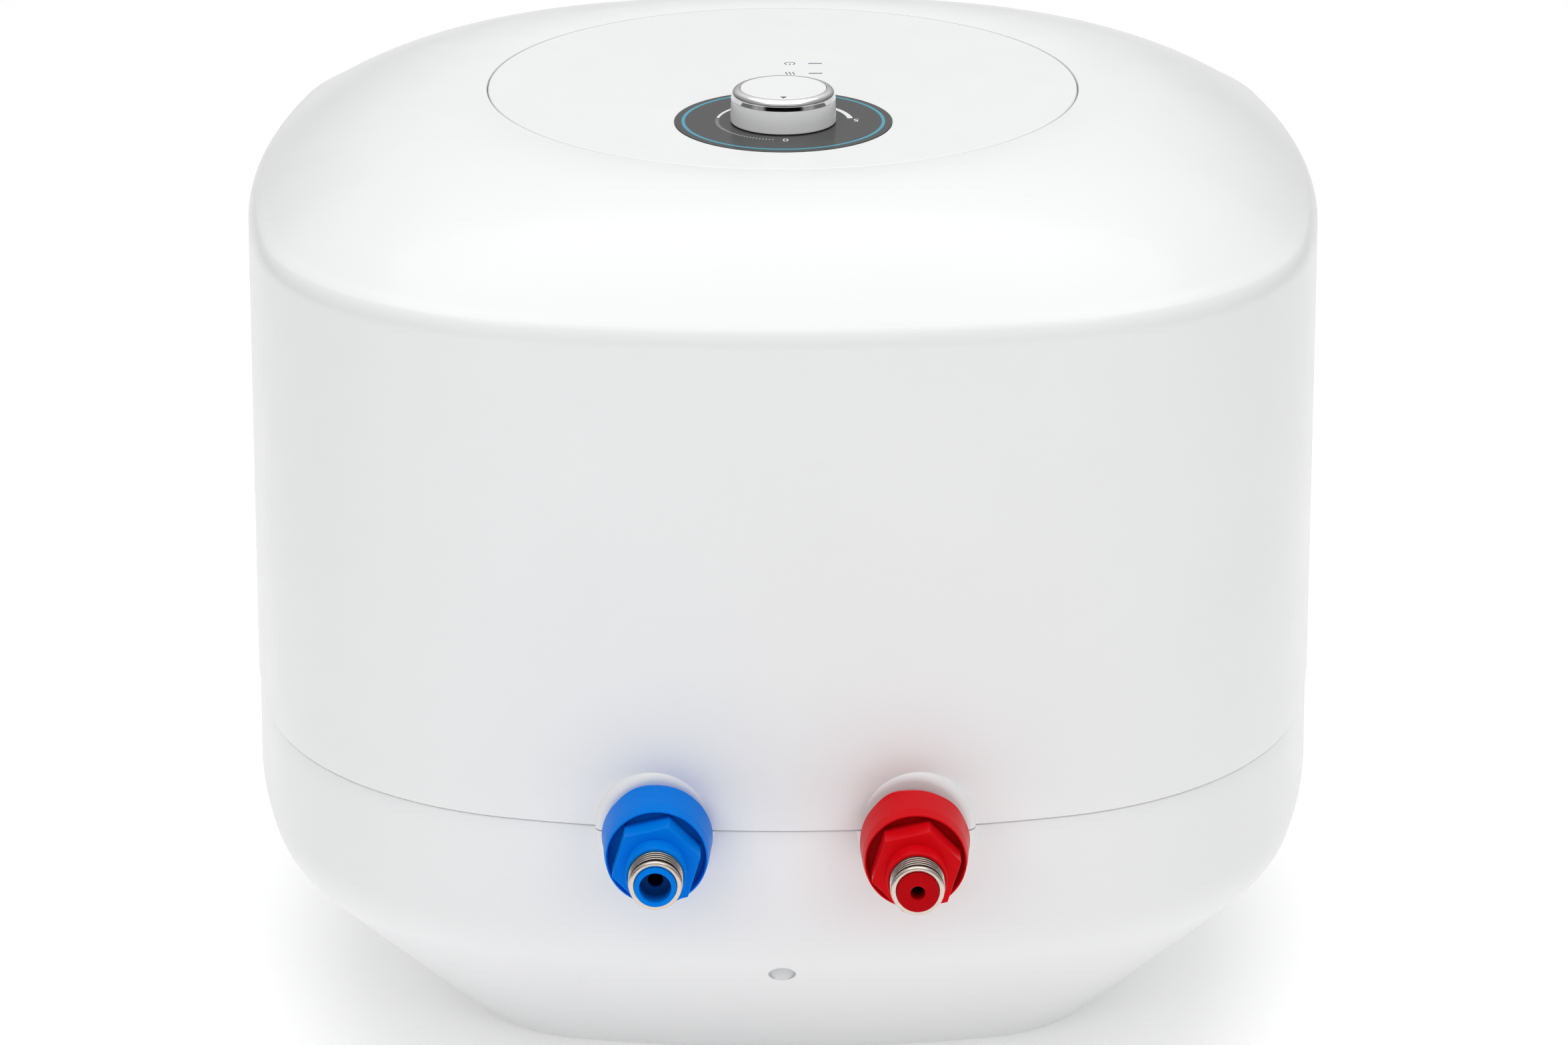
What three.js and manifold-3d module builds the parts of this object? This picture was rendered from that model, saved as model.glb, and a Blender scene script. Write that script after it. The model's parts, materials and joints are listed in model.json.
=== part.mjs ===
// Small under-sink water heater with a storage tank, lying on its back.
// Millimetres. Origin: centre of the flat back face. +Z points out of the front face, -Y towards
// the two water fittings (up, once the heater hangs on a wall) and +X to the right.
import * as THREE from "three";
import { mergeVertices } from "three/addons/utils/BufferGeometryUtils.js";
import Module from "manifold-3d";

const wasm = await Module();
wasm.setup();

// ---------------------------------------------------------------- driving dimensions
const SEAM_Z = 138; // joint between the two shells, and the plane of the water fittings
const FOLD_Z = 82; // where the rear shell's wall folds into its slanted flanks
const EDGE_Z = 340; // where the front shell's wall would meet its dome, before rounding
const FACE_Z = 377; // flat top of the round front panel
const WALL = 3; // shell thickness
const GAP = 0.3; // clearance between touching pieces

// A rounded square with bulging sides: half width, radius of the sides, radius of the corners.
const SEAM_PLAN = { half: 225.5, side: 455, corner: 140.5 };
const EDGE_PLAN = { half: 221.7, side: 550, corner: 132.7 };
const REAR_RIM_PLAN = { half: 224.8, side: 455, corner: 140 };
const FOLD_PLAN = { half: 225.7, side: 455, corner: 132 };
const BACK_PLAN = { half: 141, side: 455, corner: 57.4 };

const EDGE_ROUNDING = 10.5;
const FOLD_ROUNDING = 34;
const BACK_ROUNDING = 8;
const DOME_FULLNESS = 1.15; // 0 is a straight cone, 1 ends level at the panel

const PANEL = { radius: 122.6, seat: 123.2, thick: 3.1, opening: 112 };
const DIAL = { y: -55.3, radius: 44.2, ringOuter: 41.4, ringInner: 39.8, sunk: 0.5, proud: 0.2 };
const KNOB = { foot: 21.5, shoulder: 21.2, bezel: 21.25, cap: 17.35, bottom: 377.5, skirtTop: 386.9,
  top: 391.3, wall: 2.2, hub: 7, socketLow: 379.2 };
const SPINDLE = { radius: 3, bottom: 354.5, top: 384.4, flat: 2.4 };
const LIGHTS = [{ name: "power", y: 31.6 }, { name: "heating", y: 16.2 }];
const LIGHT = { x: 13.9, length: 5.5, width: 1, depth: 7 };

const FITTING_X = 50; // half the spacing of the water fittings
const BOSS = { root: 24.9, radius: 24.3, face: 224.3, back: 215.5, hole: 14, rounding: 4 };
const COUPLING = { back: 224.6, length: 41.2, cup: 24.7, dish: 3, neck: 11.75, hexRadius: 17.5,
  hexTurn: 13.5, hexShort: 8.1 };
const THREAD = { end: 275, length: 24.1, radius: 10.48, root: 9.35, pitch: 1.814, turns: 5, plain: 1.7,
  inner: 8.4 };
const CORE = { length: 24.8, radius: 8.1, proud: 1.4, throat: 3 };
const FITTINGS = [
  { name: "inlet", side: -1, out: 0, bore: 6.1, boreDepth: 7.5, pipeEnd: -150 },
  { name: "outlet", side: 1, out: 5, bore: 3, boreDepth: 1, pipeEnd: 168 },
];
const NIPPLE = { radius: 10.4, bore: 7.5, low: 172, high: 244.6 };
const PIPE = { radius: 6.5, wall: 1.5, start: 205 };

const TANK = { radius: 186, wall: 2, low: 88, high: 262, dome: 58, split: 200, mouth: 48 };
const FLANGE = { radius: 62, collarTop: 320, collarLow: 308, bottom: 322.3, thick: 5, boltCircle: 56,
  bolts: 5, boltRadius: 3 };
const ELEMENT = { x: 16, y: 24, radius: 4, top: 338, bend: 84 };
const WELL = { y: -30, radius: 6, bore: 4.5, bottom: 110, top: 330 };
const ANODE = { x: 28, y: -12, radius: 9, bottom: 120, top: 321 };

const BRACKET = { y: -88, width: 44, length: 196, thick: 2, webZ: 0.4, depth: 10, foot: 23,
  pocketLength: 206, pocketWidth: 50 };
const BRACKET_SCREW_X = BRACKET.length / 2 - 9;
const KEYHOLE = { x: 50, y: BRACKET.y + 7, head: 5.5, neck: 3, run: 14 };
const FOAM_PORT = { x: -1.5, y: -213.4, z: 69.9, tilt: 10, radius: 5.45 };
const FOAM_PLUG = { face: -5, shoulder: -10, end: -11.5, flange: 7.95 }; // along the port's own axis
const GLAND = { z: 110, flange: 12, body: 7.7, hole: 8, bore: 3.9 };

const BENCH = { low: 332, thick: 1.5, left: -70, right: 58, y: -27, width: 18, leg: 24 };
const BENCH_TOP = BENCH.low + BENCH.thick;
const THERMOSTAT = { x: 0, y: -44, low: BENCH_TOP + GAP, high: 360, length: 50, width: 44 };
const CUTOUT = { x: 42, y: -34, low: BENCH_TOP + GAP, high: 355, length: 28, width: 32 };
const RESET = { radius: 3.5, cap: 5, stem: 351, top: 361.5, travel: 2 };
const TERMINALS = { x: -51, y: -27, low: BENCH_TOP + GAP, high: 350, length: 38, width: 17 };
const EARTH = { x: 30, y: 32 };
const FLANGE_TOP = FLANGE.bottom + FLANGE.thick;

const FOAM_AIR = 2; // clearance between the foam and the shells
const TANK_AIR = 1.5; // and between the foam and the tank
const CHANNEL = { radius: 26, start: 150 }; // room in the foam for each fitting
const BOARD = { y: 24, length: 24, width: 34, low: FACE_Z - 12, thick: 1.6 };
const LAMP_RADIUS = 2;
const TONGUE = { thick: 2, above: 6, below: 8 }; // stands up from the rear shell inside the front one

const AROUND = 36; // facets round the shells, closer together towards the corners
const CORNER_SHARE = 0.07;
const degrees = THREE.MathUtils.degToRad;
const lerp = THREE.MathUtils.lerp;

// ---------------------------------------------------------------- materials
const paint = (color, roughness, metalness = 0) =>
  new THREE.MeshStandardMaterial({ color, roughness, metalness });
const white = () => paint(0xf1f2f3, 0.28);
const steel = () => paint(0xb9bcbf, 0.35, 1);
const nickel = () => paint(0xc9c2b2, 0.3, 1);
const colours = { inlet: 0x0072de, outlet: 0xe01224 };

// ---------------------------------------------------------------- solids
// A closed geometry as a solid, turned the right way out.
function solid(geometry) {
  const bare = new THREE.BufferGeometry();
  bare.setAttribute("position", geometry.getAttribute("position"));
  bare.setIndex(geometry.getIndex());
  const merged = mergeVertices(bare, 1e-3);
  const vertProperties = new Float32Array(merged.getAttribute("position").array);
  const triVerts = new Uint32Array(merged.getIndex().array);
  const made = new wasm.Manifold(new wasm.Mesh({ numProp: 3, vertProperties, triVerts }));
  if (made.volume() > 0) return made;
  for (let i = 0; i < triVerts.length; i += 3) {
    [triVerts[i], triVerts[i + 1]] = [triVerts[i + 1], triVerts[i]];
  }
  return new wasm.Manifold(new wasm.Mesh({ numProp: 3, vertProperties, triVerts }));
}

function geometryOf(body) {
  const { vertProperties, triVerts } = body.getMesh();
  const geometry = new THREE.BufferGeometry();
  geometry.setAttribute("position", new THREE.BufferAttribute(vertProperties, 3));
  geometry.setIndex(new THREE.BufferAttribute(triVerts, 1));
  geometry.computeVertexNormals();
  return geometry;
}

const unite = (bodies) => bodies.reduce((sum, body) => sum.add(body));
const cut = (body, tools) => tools.reduce((rest, tool) => rest.subtract(tool), body);

// A turned solid about Z from [radius, z] pairs. A profile off the axis closes on itself.
function turned(profile, segments = 32) {
  const points = profile.map(([r, z]) => new THREE.Vector2(r, z));
  if (profile[0][0] > 0) points.push(points[0].clone());
  return solid(new THREE.LatheGeometry(points, segments).rotateX(Math.PI / 2));
}

const rod = (radius, low, high, segments = 20) =>
  turned([[0, low], [radius, low], [radius, high], [0, high]], segments);

const tube = (inner, outer, low, high, segments = 20) =>
  turned([[inner, low], [outer, low], [outer, high], [inner, high]], segments);

function block(x, y, low, high, length, width) {
  const box = new THREE.BoxGeometry(length, width, high - low);
  return solid(box.translate(x, y, (low + high) / 2));
}

// A flat outline in XY, extruded from low to high.
function plate(shape, low, high, curveSegments = 12) {
  const options = { depth: high - low, bevelEnabled: false, curveSegments };
  return solid(new THREE.ExtrudeGeometry(shape, options).translate(0, 0, low));
}

function polygon(radius, sides, turn = 0) {
  const corner = (i) => degrees(turn) + (i / sides) * 2 * Math.PI;
  const points = Array.from({ length: sides }, (_, i) =>
    new THREE.Vector2(radius * Math.cos(corner(i)), radius * Math.sin(corner(i))));
  return new THREE.Shape(points);
}

function swept(path, radius, steps, sides = 8) {
  const options = { extrudePath: path, steps, bevelEnabled: false };
  return solid(new THREE.ExtrudeGeometry(polygon(radius, sides), options));
}

// Turns a body made along +Z so that it points along -Y, at the height of the water fittings.
const towardsFittings = (body, x) => body.rotate([90, 0, 0]).translate([x, 0, SEAM_Z]);

// ---------------------------------------------------------------- casing outlines
const inset = ({ half, side, corner }, by) =>
  ({ half: half - by, side: side - by, corner: corner - by });

const between = (a, b, t) => ({
  half: lerp(a.half, b.half, t),
  side: lerp(a.side, b.side, t),
  corner: lerp(a.corner, b.corner, t),
});

// Distance from the centre to a rounded square in the direction of an angle.
function reach({ half, side, corner }, angle) {
  const quarter = Math.PI / 2;
  const turn = ((angle % quarter) + quarter) % quarter;
  const off = Math.min(turn, quarter - turn);
  const sideCentre = side - half;
  const cornerCentre = (Math.sqrt(2 * (side - corner) ** 2 - sideCentre ** 2) - sideCentre) / 2;
  const join = Math.atan2(cornerCentre, cornerCentre + sideCentre);
  const joinAt = Math.atan2(side * Math.sin(join), side * Math.cos(join) - sideCentre);
  const c = Math.cos(off);
  const s = Math.sin(off);
  if (off <= joinAt) return Math.sqrt(side ** 2 - (sideCentre * s) ** 2) - sideCentre * c;
  return cornerCentre * (c + s) + Math.sqrt(corner ** 2 - (cornerCentre * (c - s)) ** 2);
}

const planLevel = (plan, z) => ({ z, reach: (angle) => reach(plan, angle) });
const roundLevel = (radius, z) => ({ z, reach: () => radius });

// A moulding from a closed run of levels: a lathe whose every ring takes its own outline.
function moulded(levels) {
  const run = levels[0].axis ? levels : [...levels, levels[0]];
  const profile = run.map((level) => new THREE.Vector2(level.reach(0), level.z));
  const geometry = new THREE.LatheGeometry(profile, AROUND);
  const position = geometry.getAttribute("position");
  for (let i = 0; i <= AROUND; i += 1) {
    const even = ((i % AROUND) / AROUND) * 2 * Math.PI;
    const angle = even + CORNER_SHARE * Math.sin(4 * even);
    run.forEach((level, j) => {
      const r = level.reach(angle);
      position.setXYZ(i * run.length + j, r * Math.cos(angle), r * Math.sin(angle), level.z);
    });
  }
  return solid(geometry);
}

const axisLevel = (z) => ({ z, reach: () => 0, axis: true });
const steps = (count, first = 0) =>
  Array.from({ length: count + 1 - first }, (_, i) => (i + first) / count);

// Front shell surface from its rim to the panel seat, moved inwards by a thickness.
function frontSurface(thickness, wallSteps, roundSteps, domeSteps) {
  const edge = inset(EDGE_PLAN, thickness);
  const rim = inset(SEAM_PLAN, thickness);
  const top = FACE_Z - thickness;
  const edgeZ = EDGE_Z - thickness;
  const run = edge.half - PANEL.seat;
  const height = (s) => lerp(edgeZ, top, (1 + DOME_FULLNESS) * s - DOME_FULLNESS * s * s);
  const slope = Math.atan((top - edgeZ) * (1 + DOME_FULLNESS) / run);
  const turn = Math.PI / 2 - slope;
  const radius = EDGE_ROUNDING - thickness / 2;
  const low = edgeZ - radius * Math.tan(turn / 2);
  const walls = steps(wallSteps).map((t) =>
    planLevel(between(rim, edge, t), lerp(SEAM_Z + GAP, low, t)));
  const rounding = steps(roundSteps, 1).map((t) => {
    const pull = radius * (1 - Math.cos(turn * t));
    return { z: low + radius * Math.sin(turn * t), reach: (a) => reach(edge, a) - pull };
  });
  const start = radius * (1 - Math.cos(turn)) / run;
  const dome = steps(domeSteps, 1).map((t) => {
    const s = lerp(start, 1, t);
    return { z: height(s), reach: (a) => lerp(reach(edge, a), PANEL.seat, s) };
  });
  return [...walls, ...rounding, ...dome];
}

// Rear shell surface from its rim down to the back face, moved inwards by a thickness.
function rearSurface(thickness, rimZ, foldSteps, backSteps) {
  const lean = Math.atan((FOLD_PLAN.half - BACK_PLAN.half) / FOLD_Z);
  const across = Math.cos(lean);
  const corner = (z) => (z < FOLD_Z
    ? lerp(BACK_PLAN.corner, FOLD_PLAN.corner, z / FOLD_Z)
    : lerp(FOLD_PLAN.corner, REAR_RIM_PLAN.corner, (z - FOLD_Z) / (SEAM_Z - FOLD_Z)));
  const level = (half, z) => planLevel(
    { half, side: FOLD_PLAN.side - thickness, corner: corner(z) - thickness }, z);
  const arc = (radius, centre, from, to, count) => steps(count).map((t) => {
    const down = lerp(from, to, t);
    const r = radius - thickness;
    return level(centre[0] + r * Math.cos(down), centre[1] - r * Math.sin(down));
  });
  const foldCentre = [FOLD_PLAN.half - FOLD_ROUNDING,
    FOLD_Z + FOLD_ROUNDING * Math.tan(lean / 2)];
  const backCentre = [BACK_PLAN.half - BACK_ROUNDING * (1 - Math.sin(lean)) / across,
    BACK_ROUNDING];
  return [
    level(REAR_RIM_PLAN.half - thickness, rimZ),
    ...arc(FOLD_ROUNDING, foldCentre, 0, lean, foldSteps),
    ...arc(BACK_ROUNDING, backCentre, lean, Math.PI / 2, backSteps),
  ];
}

// ---------------------------------------------------------------- casing
// A round pad for one water fitting, with a softened rim, centred on the seam.
function boss(side) {
  const { root, radius, face, back, hole, rounding } = BOSS;
  const rim = steps(4).map((t) => [
    radius - rounding * (1 - Math.cos(t * Math.PI / 2)),
    face - rounding + rounding * Math.sin(t * Math.PI / 2),
  ]);
  return towardsFittings(turned([[hole, back], [root, back], ...rim, [hole, face]], 32),
    side * FITTING_X);
}

const bossHole = (side) =>
  towardsFittings(rod(BOSS.hole, BOSS.back - 20, BOSS.face + 10, 32), side * FITTING_X);

function frontShell() {
  const outside = frontSurface(0, 2, 3, 5);
  const inside = frontSurface(WALL, 1, 1, 3).reverse();
  const seatZ = FACE_Z - PANEL.thick - GAP;
  const body = moulded([
    ...outside,
    roundLevel(PANEL.seat, seatZ),
    roundLevel(PANEL.opening, seatZ),
    roundLevel(PANEL.opening, seatZ - WALL),
    roundLevel(PANEL.seat + 2, seatZ - WALL - 1),
    ...inside.slice(1),
  ]);
  const above = block(0, 0, SEAM_Z + GAP, SEAM_Z + 60, 600, 600);
  const pads = [-1, 1].map((side) => boss(side).intersect(above));
  return cut(unite([body, ...pads]), [bossHole(-1), bossHole(1)]);
}

// The rear shell carries a tongue that stands up inside the front shell's rim.
function rearShell() {
  const rimZ = SEAM_Z - GAP;
  const outside = rearSurface(0, rimZ, 3, 2);
  const inside = rearSurface(WALL, rimZ - TONGUE.below, 2, 1).reverse();
  const tongueTop = SEAM_Z + TONGUE.above;
  const tongueOut = inset(SEAM_PLAN, WALL + GAP);
  const tongueIn = inset(tongueOut, TONGUE.thick);
  const body = moulded([
    axisLevel(WALL),
    ...inside,
    planLevel(tongueIn, rimZ),
    planLevel(tongueIn, tongueTop),
    planLevel(tongueOut, tongueTop),
    planLevel(tongueOut, rimZ),
    ...outside,
    axisLevel(0),
  ]);
  const below = block(0, 0, SEAM_Z - 60, SEAM_Z - GAP, 600, 600);
  const pads = [-1, 1].map((side) => boss(side).intersect(below));
  const { y, pocketLength, pocketWidth, depth } = BRACKET;
  const pocketWalls = block(0, y, 0.5, depth + WALL, pocketLength + 2 * WALL, pocketWidth + 2 * WALL);
  const pocket = block(0, y, -5, depth, pocketLength, pocketWidth);
  const screwHoles = [-1, 1].map((side) =>
    rod(1.7, depth - 1, depth + WALL + 1, 16).translate([side * BRACKET_SCREW_X, y, 0]));
  const tongueGaps = [-1, 1].map((side) => block(side * FITTING_X, -BOSS.back, rimZ, SEAM_Z + 10,
    2 * (BOSS.root + 1), 30));
  return cut(unite([cut(body, tongueGaps), ...pads, pocketWalls]), [
    pocket,
    ...screwHoles,
    bossHole(-1),
    bossHole(1),
    acrossPort(rod(FOAM_PORT.radius, -20, 10, 24)),
    towardsFloor(rod(GLAND.hole, 200, 240, 24)),
  ]);
}

// Turns a body made along +Z to point out of the slanted flank at the filling port.
const acrossPort = (body) => body.rotate([90 + FOAM_PORT.tilt, 0, 0])
  .translate([FOAM_PORT.x, FOAM_PORT.y, FOAM_PORT.z]);

// Turns a body made along +Z to point along +Y at the height of the cable gland.
const towardsFloor = (body) => body.rotate([-90, 0, 0]).translate([0, 0, GLAND.z]);

function foamPlug() {
  const { face, shoulder, end, flange } = FOAM_PLUG;
  const radius = FOAM_PORT.radius - GAP;
  return acrossPort(turned([[0, end], [flange, end], [flange, shoulder], [radius, shoulder],
    [radius, face], [0, face]], 20));
}

function cableGland() {
  const { flange, body, bore } = GLAND;
  const wallY = FOLD_PLAN.half;
  return towardsFloor(turned([[bore, wallY - 9], [body, wallY - 9], [body, wallY + 0.4],
    [flange, wallY + 0.4], [flange - 0.6, wallY + 3.2], [flange - 2.4, wallY + 4],
    [bore + 1, wallY + 4], [bore, wallY + 3]], 24));
}

// ---------------------------------------------------------------- front panel and dial
function frontPanel() {
  const bottom = FACE_Z - PANEL.thick;
  const disc = moulded([axisLevel(bottom), roundLevel(PANEL.radius, bottom),
    roundLevel(PANEL.radius, FACE_Z - 0.7), roundLevel(PANEL.radius - 0.7, FACE_Z),
    axisLevel(FACE_Z)]);
  const dialSeat = rod(DIAL.radius + GAP, FACE_Z - DIAL.sunk - GAP, FACE_Z + 5, 32)
    .translate([0, DIAL.y, 0]);
  const spindleHole = rod(SPINDLE.radius + 1.5, bottom - 5, FACE_Z + 5).translate([0, DIAL.y, 0]);
  const slots = LIGHTS.map(({ y }) =>
    block(LIGHT.x, y, bottom - 5, FACE_Z + 5, LIGHT.length + 2 * GAP, LIGHT.width + 2 * GAP));
  return cut(disc, [dialSeat, spindleHole, ...slots]);
}

function dialPlate() {
  const low = FACE_Z - DIAL.sunk;
  const top = FACE_Z + DIAL.proud;
  return turned([[SPINDLE.radius + 1.5, low], [DIAL.radius, low], [DIAL.radius, top - 0.2],
    [DIAL.radius - 0.2, top], [SPINDLE.radius + 1.5, top]], 32);
}

const dialRing = () => tube(DIAL.ringInner, DIAL.ringOuter, FACE_Z + DIAL.proud + GAP,
  FACE_Z + DIAL.proud + GAP + 0.3, 32);

const lightWindow = (y) =>
  block(LIGHT.x, y, FACE_Z - LIGHT.depth, FACE_Z + 0.1, LIGHT.length, LIGHT.width);

// ---------------------------------------------------------------- knob
function knobSkirt() {
  const { foot, shoulder, bottom, skirtTop, wall, hub, socketLow } = KNOB;
  const shaft = SPINDLE.radius + GAP;
  return turned([[0, skirtTop], [shoulder, skirtTop], [foot, bottom], [foot - wall, bottom],
    [shoulder - wall, skirtTop - wall], [hub, skirtTop - wall], [hub - 1, socketLow],
    [shaft, socketLow], [shaft, SPINDLE.top + GAP], [0, SPINDLE.top + GAP]], 28);
}

function knobBezel() {
  const { bezel, cap, skirtTop, top } = KNOB;
  const low = skirtTop + GAP;
  const inner = cap + GAP;
  const crown = steps(4).map((t) => [
    lerp(inner + GAP, bezel, Math.cos(t * Math.PI / 2)),
    lerp(low + 1.2, top - 0.1, Math.sin(t * Math.PI / 2)),
  ]);
  return turned([[inner, low], [bezel, low], ...crown, [inner, top - GAP]], 28);
}

function knobCap() {
  const { cap, skirtTop, top } = KNOB;
  return turned([[0, skirtTop + GAP], [cap, skirtTop + GAP], [cap, top - 0.6], [cap - 0.6, top - 0.1],
    [cap - 2, top], [0, top]], 28);
}

function spindle() {
  const { radius, bottom, top, flat } = SPINDLE;
  const depth = 5;
  return cut(rod(radius, bottom, top, 20),
    [block(0, flat + depth / 2, KNOB.socketLow, top + 1, 10, depth)]);
}

// ---------------------------------------------------------------- thermostat and wiring
// The bench is a strip on two legs welded to the flange, under the thermostat and its neighbours.
function thermostatBracket() {
  const { low, left, right, y, width, leg } = BENCH;
  const web = block((left + right) / 2, y, low, BENCH_TOP, right - left, width);
  const legs = [-1, 1].map((side) =>
    block(side * leg, y, FLANGE_TOP + GAP, low + 0.5, 2, width - 4));
  const feet = [-1, 1].map((side) =>
    block(side * (leg + 2), y, FLANGE_TOP + GAP, FLANGE_TOP + GAP + 1.5, 6, width - 4));
  const probeHole = rod(4, low - 5, low + 5, 16).translate([0, WELL.y, 0]);
  return cut(unite([web, ...legs, ...feet]), [probeHole]);
}

function thermostatBody() {
  const { x, y, low, high, length, width } = THERMOSTAT;
  const base = block(x, y, low, high - 6, length, width);
  const lid = block(x, y, high - 6.5, high, length - 6, width - 6);
  const spindleSocket = rod(SPINDLE.radius + GAP, SPINDLE.bottom - GAP, high + 5, 20)
    .translate([0, DIAL.y, 0]);
  const probeSocket = rod(3.3, low - 5, low + 6, 16).translate([0, WELL.y, 0]);
  const terminals = [-1, 1].map((side) => block(side * 16, y + width / 2 + 3, low + 6, low + 7, 6, 7));
  return cut(unite([base, lid, ...terminals]), [spindleSocket, probeSocket]);
}

function thermalCutout() {
  const { x, y, low, high, length, width } = CUTOUT;
  const pocket = unite([rod(2.3, RESET.stem - RESET.travel - GAP, high + 5, 16),
    rod(RESET.radius + GAP, high - 3, high + 5, 24)]).translate([x, y, 0]);
  return cut(block(x, y, low, high, length, width), [pocket]);
}

function resetButton() {
  const { radius, stem, top } = RESET;
  const shoulder = CUTOUT.high - 3 + RESET.travel + GAP;
  return turned([[0, stem], [2, stem], [2, shoulder], [radius, shoulder], [radius, top - 0.6],
    [radius - 0.6, top], [0, top]], 24).translate([CUTOUT.x, CUTOUT.y, 0]);
}

function terminalBlock() {
  const { x, y, low, high, length, width } = TERMINALS;
  const wells = [-1, 0, 1].map((i) => rod(3, high - 6, high + 5, 16).translate([x + i * 12, y, 0]));
  return cut(block(x, y, low, high, length, width), wells);
}

// Insulated leads run from the front side of the terminal block.
function lead(points) {
  const path = new THREE.CatmullRomCurve3(points.map((p) => new THREE.Vector3(...p)));
  return swept(path, 1.3, 16, 6);
}

const leadStart = (i) => [TERMINALS.x + i * 12, TERMINALS.y + TERMINALS.width / 2 + GAP + 0.2, 343];
const THERMOSTAT_TAB_Y = THERMOSTAT.y + THERMOSTAT.width / 2 + 6.5;

const leads = {
  live_lead: () => lead([leadStart(1), [-37, -8, 346], [-28, -4, 344],
    [-16, THERMOSTAT_TAB_Y + 2 + GAP, 340.4]]),
  neutral_lead: () => lead([leadStart(0), [-47, -2, 350], [-10, 6, 352], [26, -2, 350],
    [CUTOUT.x, CUTOUT.y + CUTOUT.width / 2 + 1, 346]]),
  earth_lead: () => lead([leadStart(-1), [-60, -4, 340], [-40, 30, 342], [0, 42, 342], [22, 38, 338],
    [EARTH.x, EARTH.y, FLANGE_TOP + 7]]),
};

// ---------------------------------------------------------------- tank
// Height of the tank's upper dome above a radius; the lower dome mirrors it.
const domeHeight = (r, radius, depth) => depth * Math.sqrt(Math.max(0, 1 - (r / radius) ** 2));

function tankFront() {
  const { radius, wall, high, dome, split, mouth } = TANK;
  const shoulder = FLANGE.radius + 4;
  const outer = [...steps(5).map((t) => radius * Math.cos(Math.PI / 2 * t))
    .filter((r) => r > shoulder), shoulder];
  const innerRadius = radius - wall;
  const cap = outer.map((r) => [r, high + domeHeight(r, radius, dome)]);
  const lining = outer.map((r) => r * innerRadius / radius)
    .map((r) => [r, high + domeHeight(r, innerRadius, dome - wall)]);
  const body = turned([[radius, split + GAP], ...cap, [FLANGE.radius, FLANGE.collarTop],
    [mouth, FLANGE.collarTop], [mouth, FLANGE.collarLow], [FLANGE.radius, FLANGE.collarLow],
    ...lining.reverse(), [innerRadius, split + GAP]], 28);
  return cut(body, boltPlaces().map(([x, y]) =>
    rod(FLANGE.boltRadius + GAP, FLANGE.collarLow + 2, FLANGE.collarTop + 5, 8).translate([x, y, 0])));
}

function tankRear() {
  const { radius, wall, low, dome, split } = TANK;
  const innerRadius = radius - wall;
  const ring = steps(5).map((t) => Math.PI / 2 * t);
  const outside = ring.map((a) => [radius * Math.cos(a), low - dome * Math.sin(a)]);
  const inside = ring.map((a) => [innerRadius * Math.cos(a), low - (dome - wall) * Math.sin(a)]);
  outside[5][0] = 0;
  inside[5][0] = 0;
  const body = turned([...outside.reverse(), [radius, split], [innerRadius, split], ...inside], 28);
  return cut(body, FITTINGS.map(({ side }) =>
    towardsFittings(rod(NIPPLE.radius + GAP, 150, 200, 20), side * FITTING_X)));
}

const boltPlaces = () => Array.from({ length: FLANGE.bolts }, (_, i) => {
  const angle = Math.PI / 2 + (i / FLANGE.bolts) * 2 * Math.PI;
  return [FLANGE.boltCircle * Math.cos(angle), FLANGE.boltCircle * Math.sin(angle)];
});

const boltHoles = () => boltPlaces().map(([x, y]) =>
  rod(FLANGE.boltRadius + GAP, 300, 340, 8).translate([x, y, 0]));

function flangePlate() {
  const { radius, bottom } = FLANGE;
  return cut(rod(radius, bottom, FLANGE_TOP, 28), [
    ...boltHoles(),
    ...[-1, 1].map((side) =>
      rod(ELEMENT.radius + GAP, 300, 340, 12).translate([side * ELEMENT.x, ELEMENT.y, 0])),
    rod(WELL.radius + GAP, 300, 340, 16).translate([0, WELL.y, 0]),
    rod(2.3, FLANGE_TOP - 4, FLANGE_TOP + 5, 12).translate([EARTH.x, EARTH.y, 0]),
  ]);
}

const flangeGasket = () => tube(TANK.mouth, FLANGE.boltCircle - FLANGE.boltRadius - 1,
  FLANGE.collarTop + GAP, FLANGE.bottom - GAP, 28);

const hexBolt = (head, headHigh, shank, length, base) => unite([
  plate(polygon(head, 6), base, base + headHigh),
  rod(shank, base - length, base + 0.1, 8),
]);

const earthScrew = () => hexBolt(4.6, 3.5, 2, 3.5, FLANGE_TOP + GAP)
  .translate([EARTH.x, EARTH.y, 0]);

// A hairpin heating tube: two straight legs joined by a half circle at the foot.
function heatingElement() {
  const { x, y, radius, top, bend } = ELEMENT;
  const path = new THREE.CurvePath();
  const foot = steps(8).map((t) => new THREE.Vector3(
    -x * Math.cos(Math.PI * t), y, bend - x * Math.sin(Math.PI * t)));
  path.add(new THREE.LineCurve3(new THREE.Vector3(-x, y, top), foot[0]));
  foot.slice(1).forEach((point, i) => path.add(new THREE.LineCurve3(foot[i], point)));
  path.add(new THREE.LineCurve3(foot[8], new THREE.Vector3(x, y, top)));
  return swept(path, radius, 30);
}

const thermowell = () => turned([[0, WELL.bottom], [WELL.radius, WELL.bottom],
  [WELL.radius, WELL.top], [WELL.bore, WELL.top], [WELL.bore, WELL.bottom + 2],
  [0, WELL.bottom + 2]], 16).translate([0, WELL.y, 0]);

const thermostatProbe = () => rod(3, WELL.bottom + 12, THERMOSTAT.low + 5, 12)
  .translate([0, WELL.y, 0]);

const anodeRod = () => turned([[0, ANODE.bottom], [ANODE.radius, ANODE.bottom],
  [ANODE.radius, ANODE.top - 14], [4, ANODE.top - 14], [4, ANODE.top], [0, ANODE.top]], 16)
  .translate([ANODE.x, ANODE.y, 0]);

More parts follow.
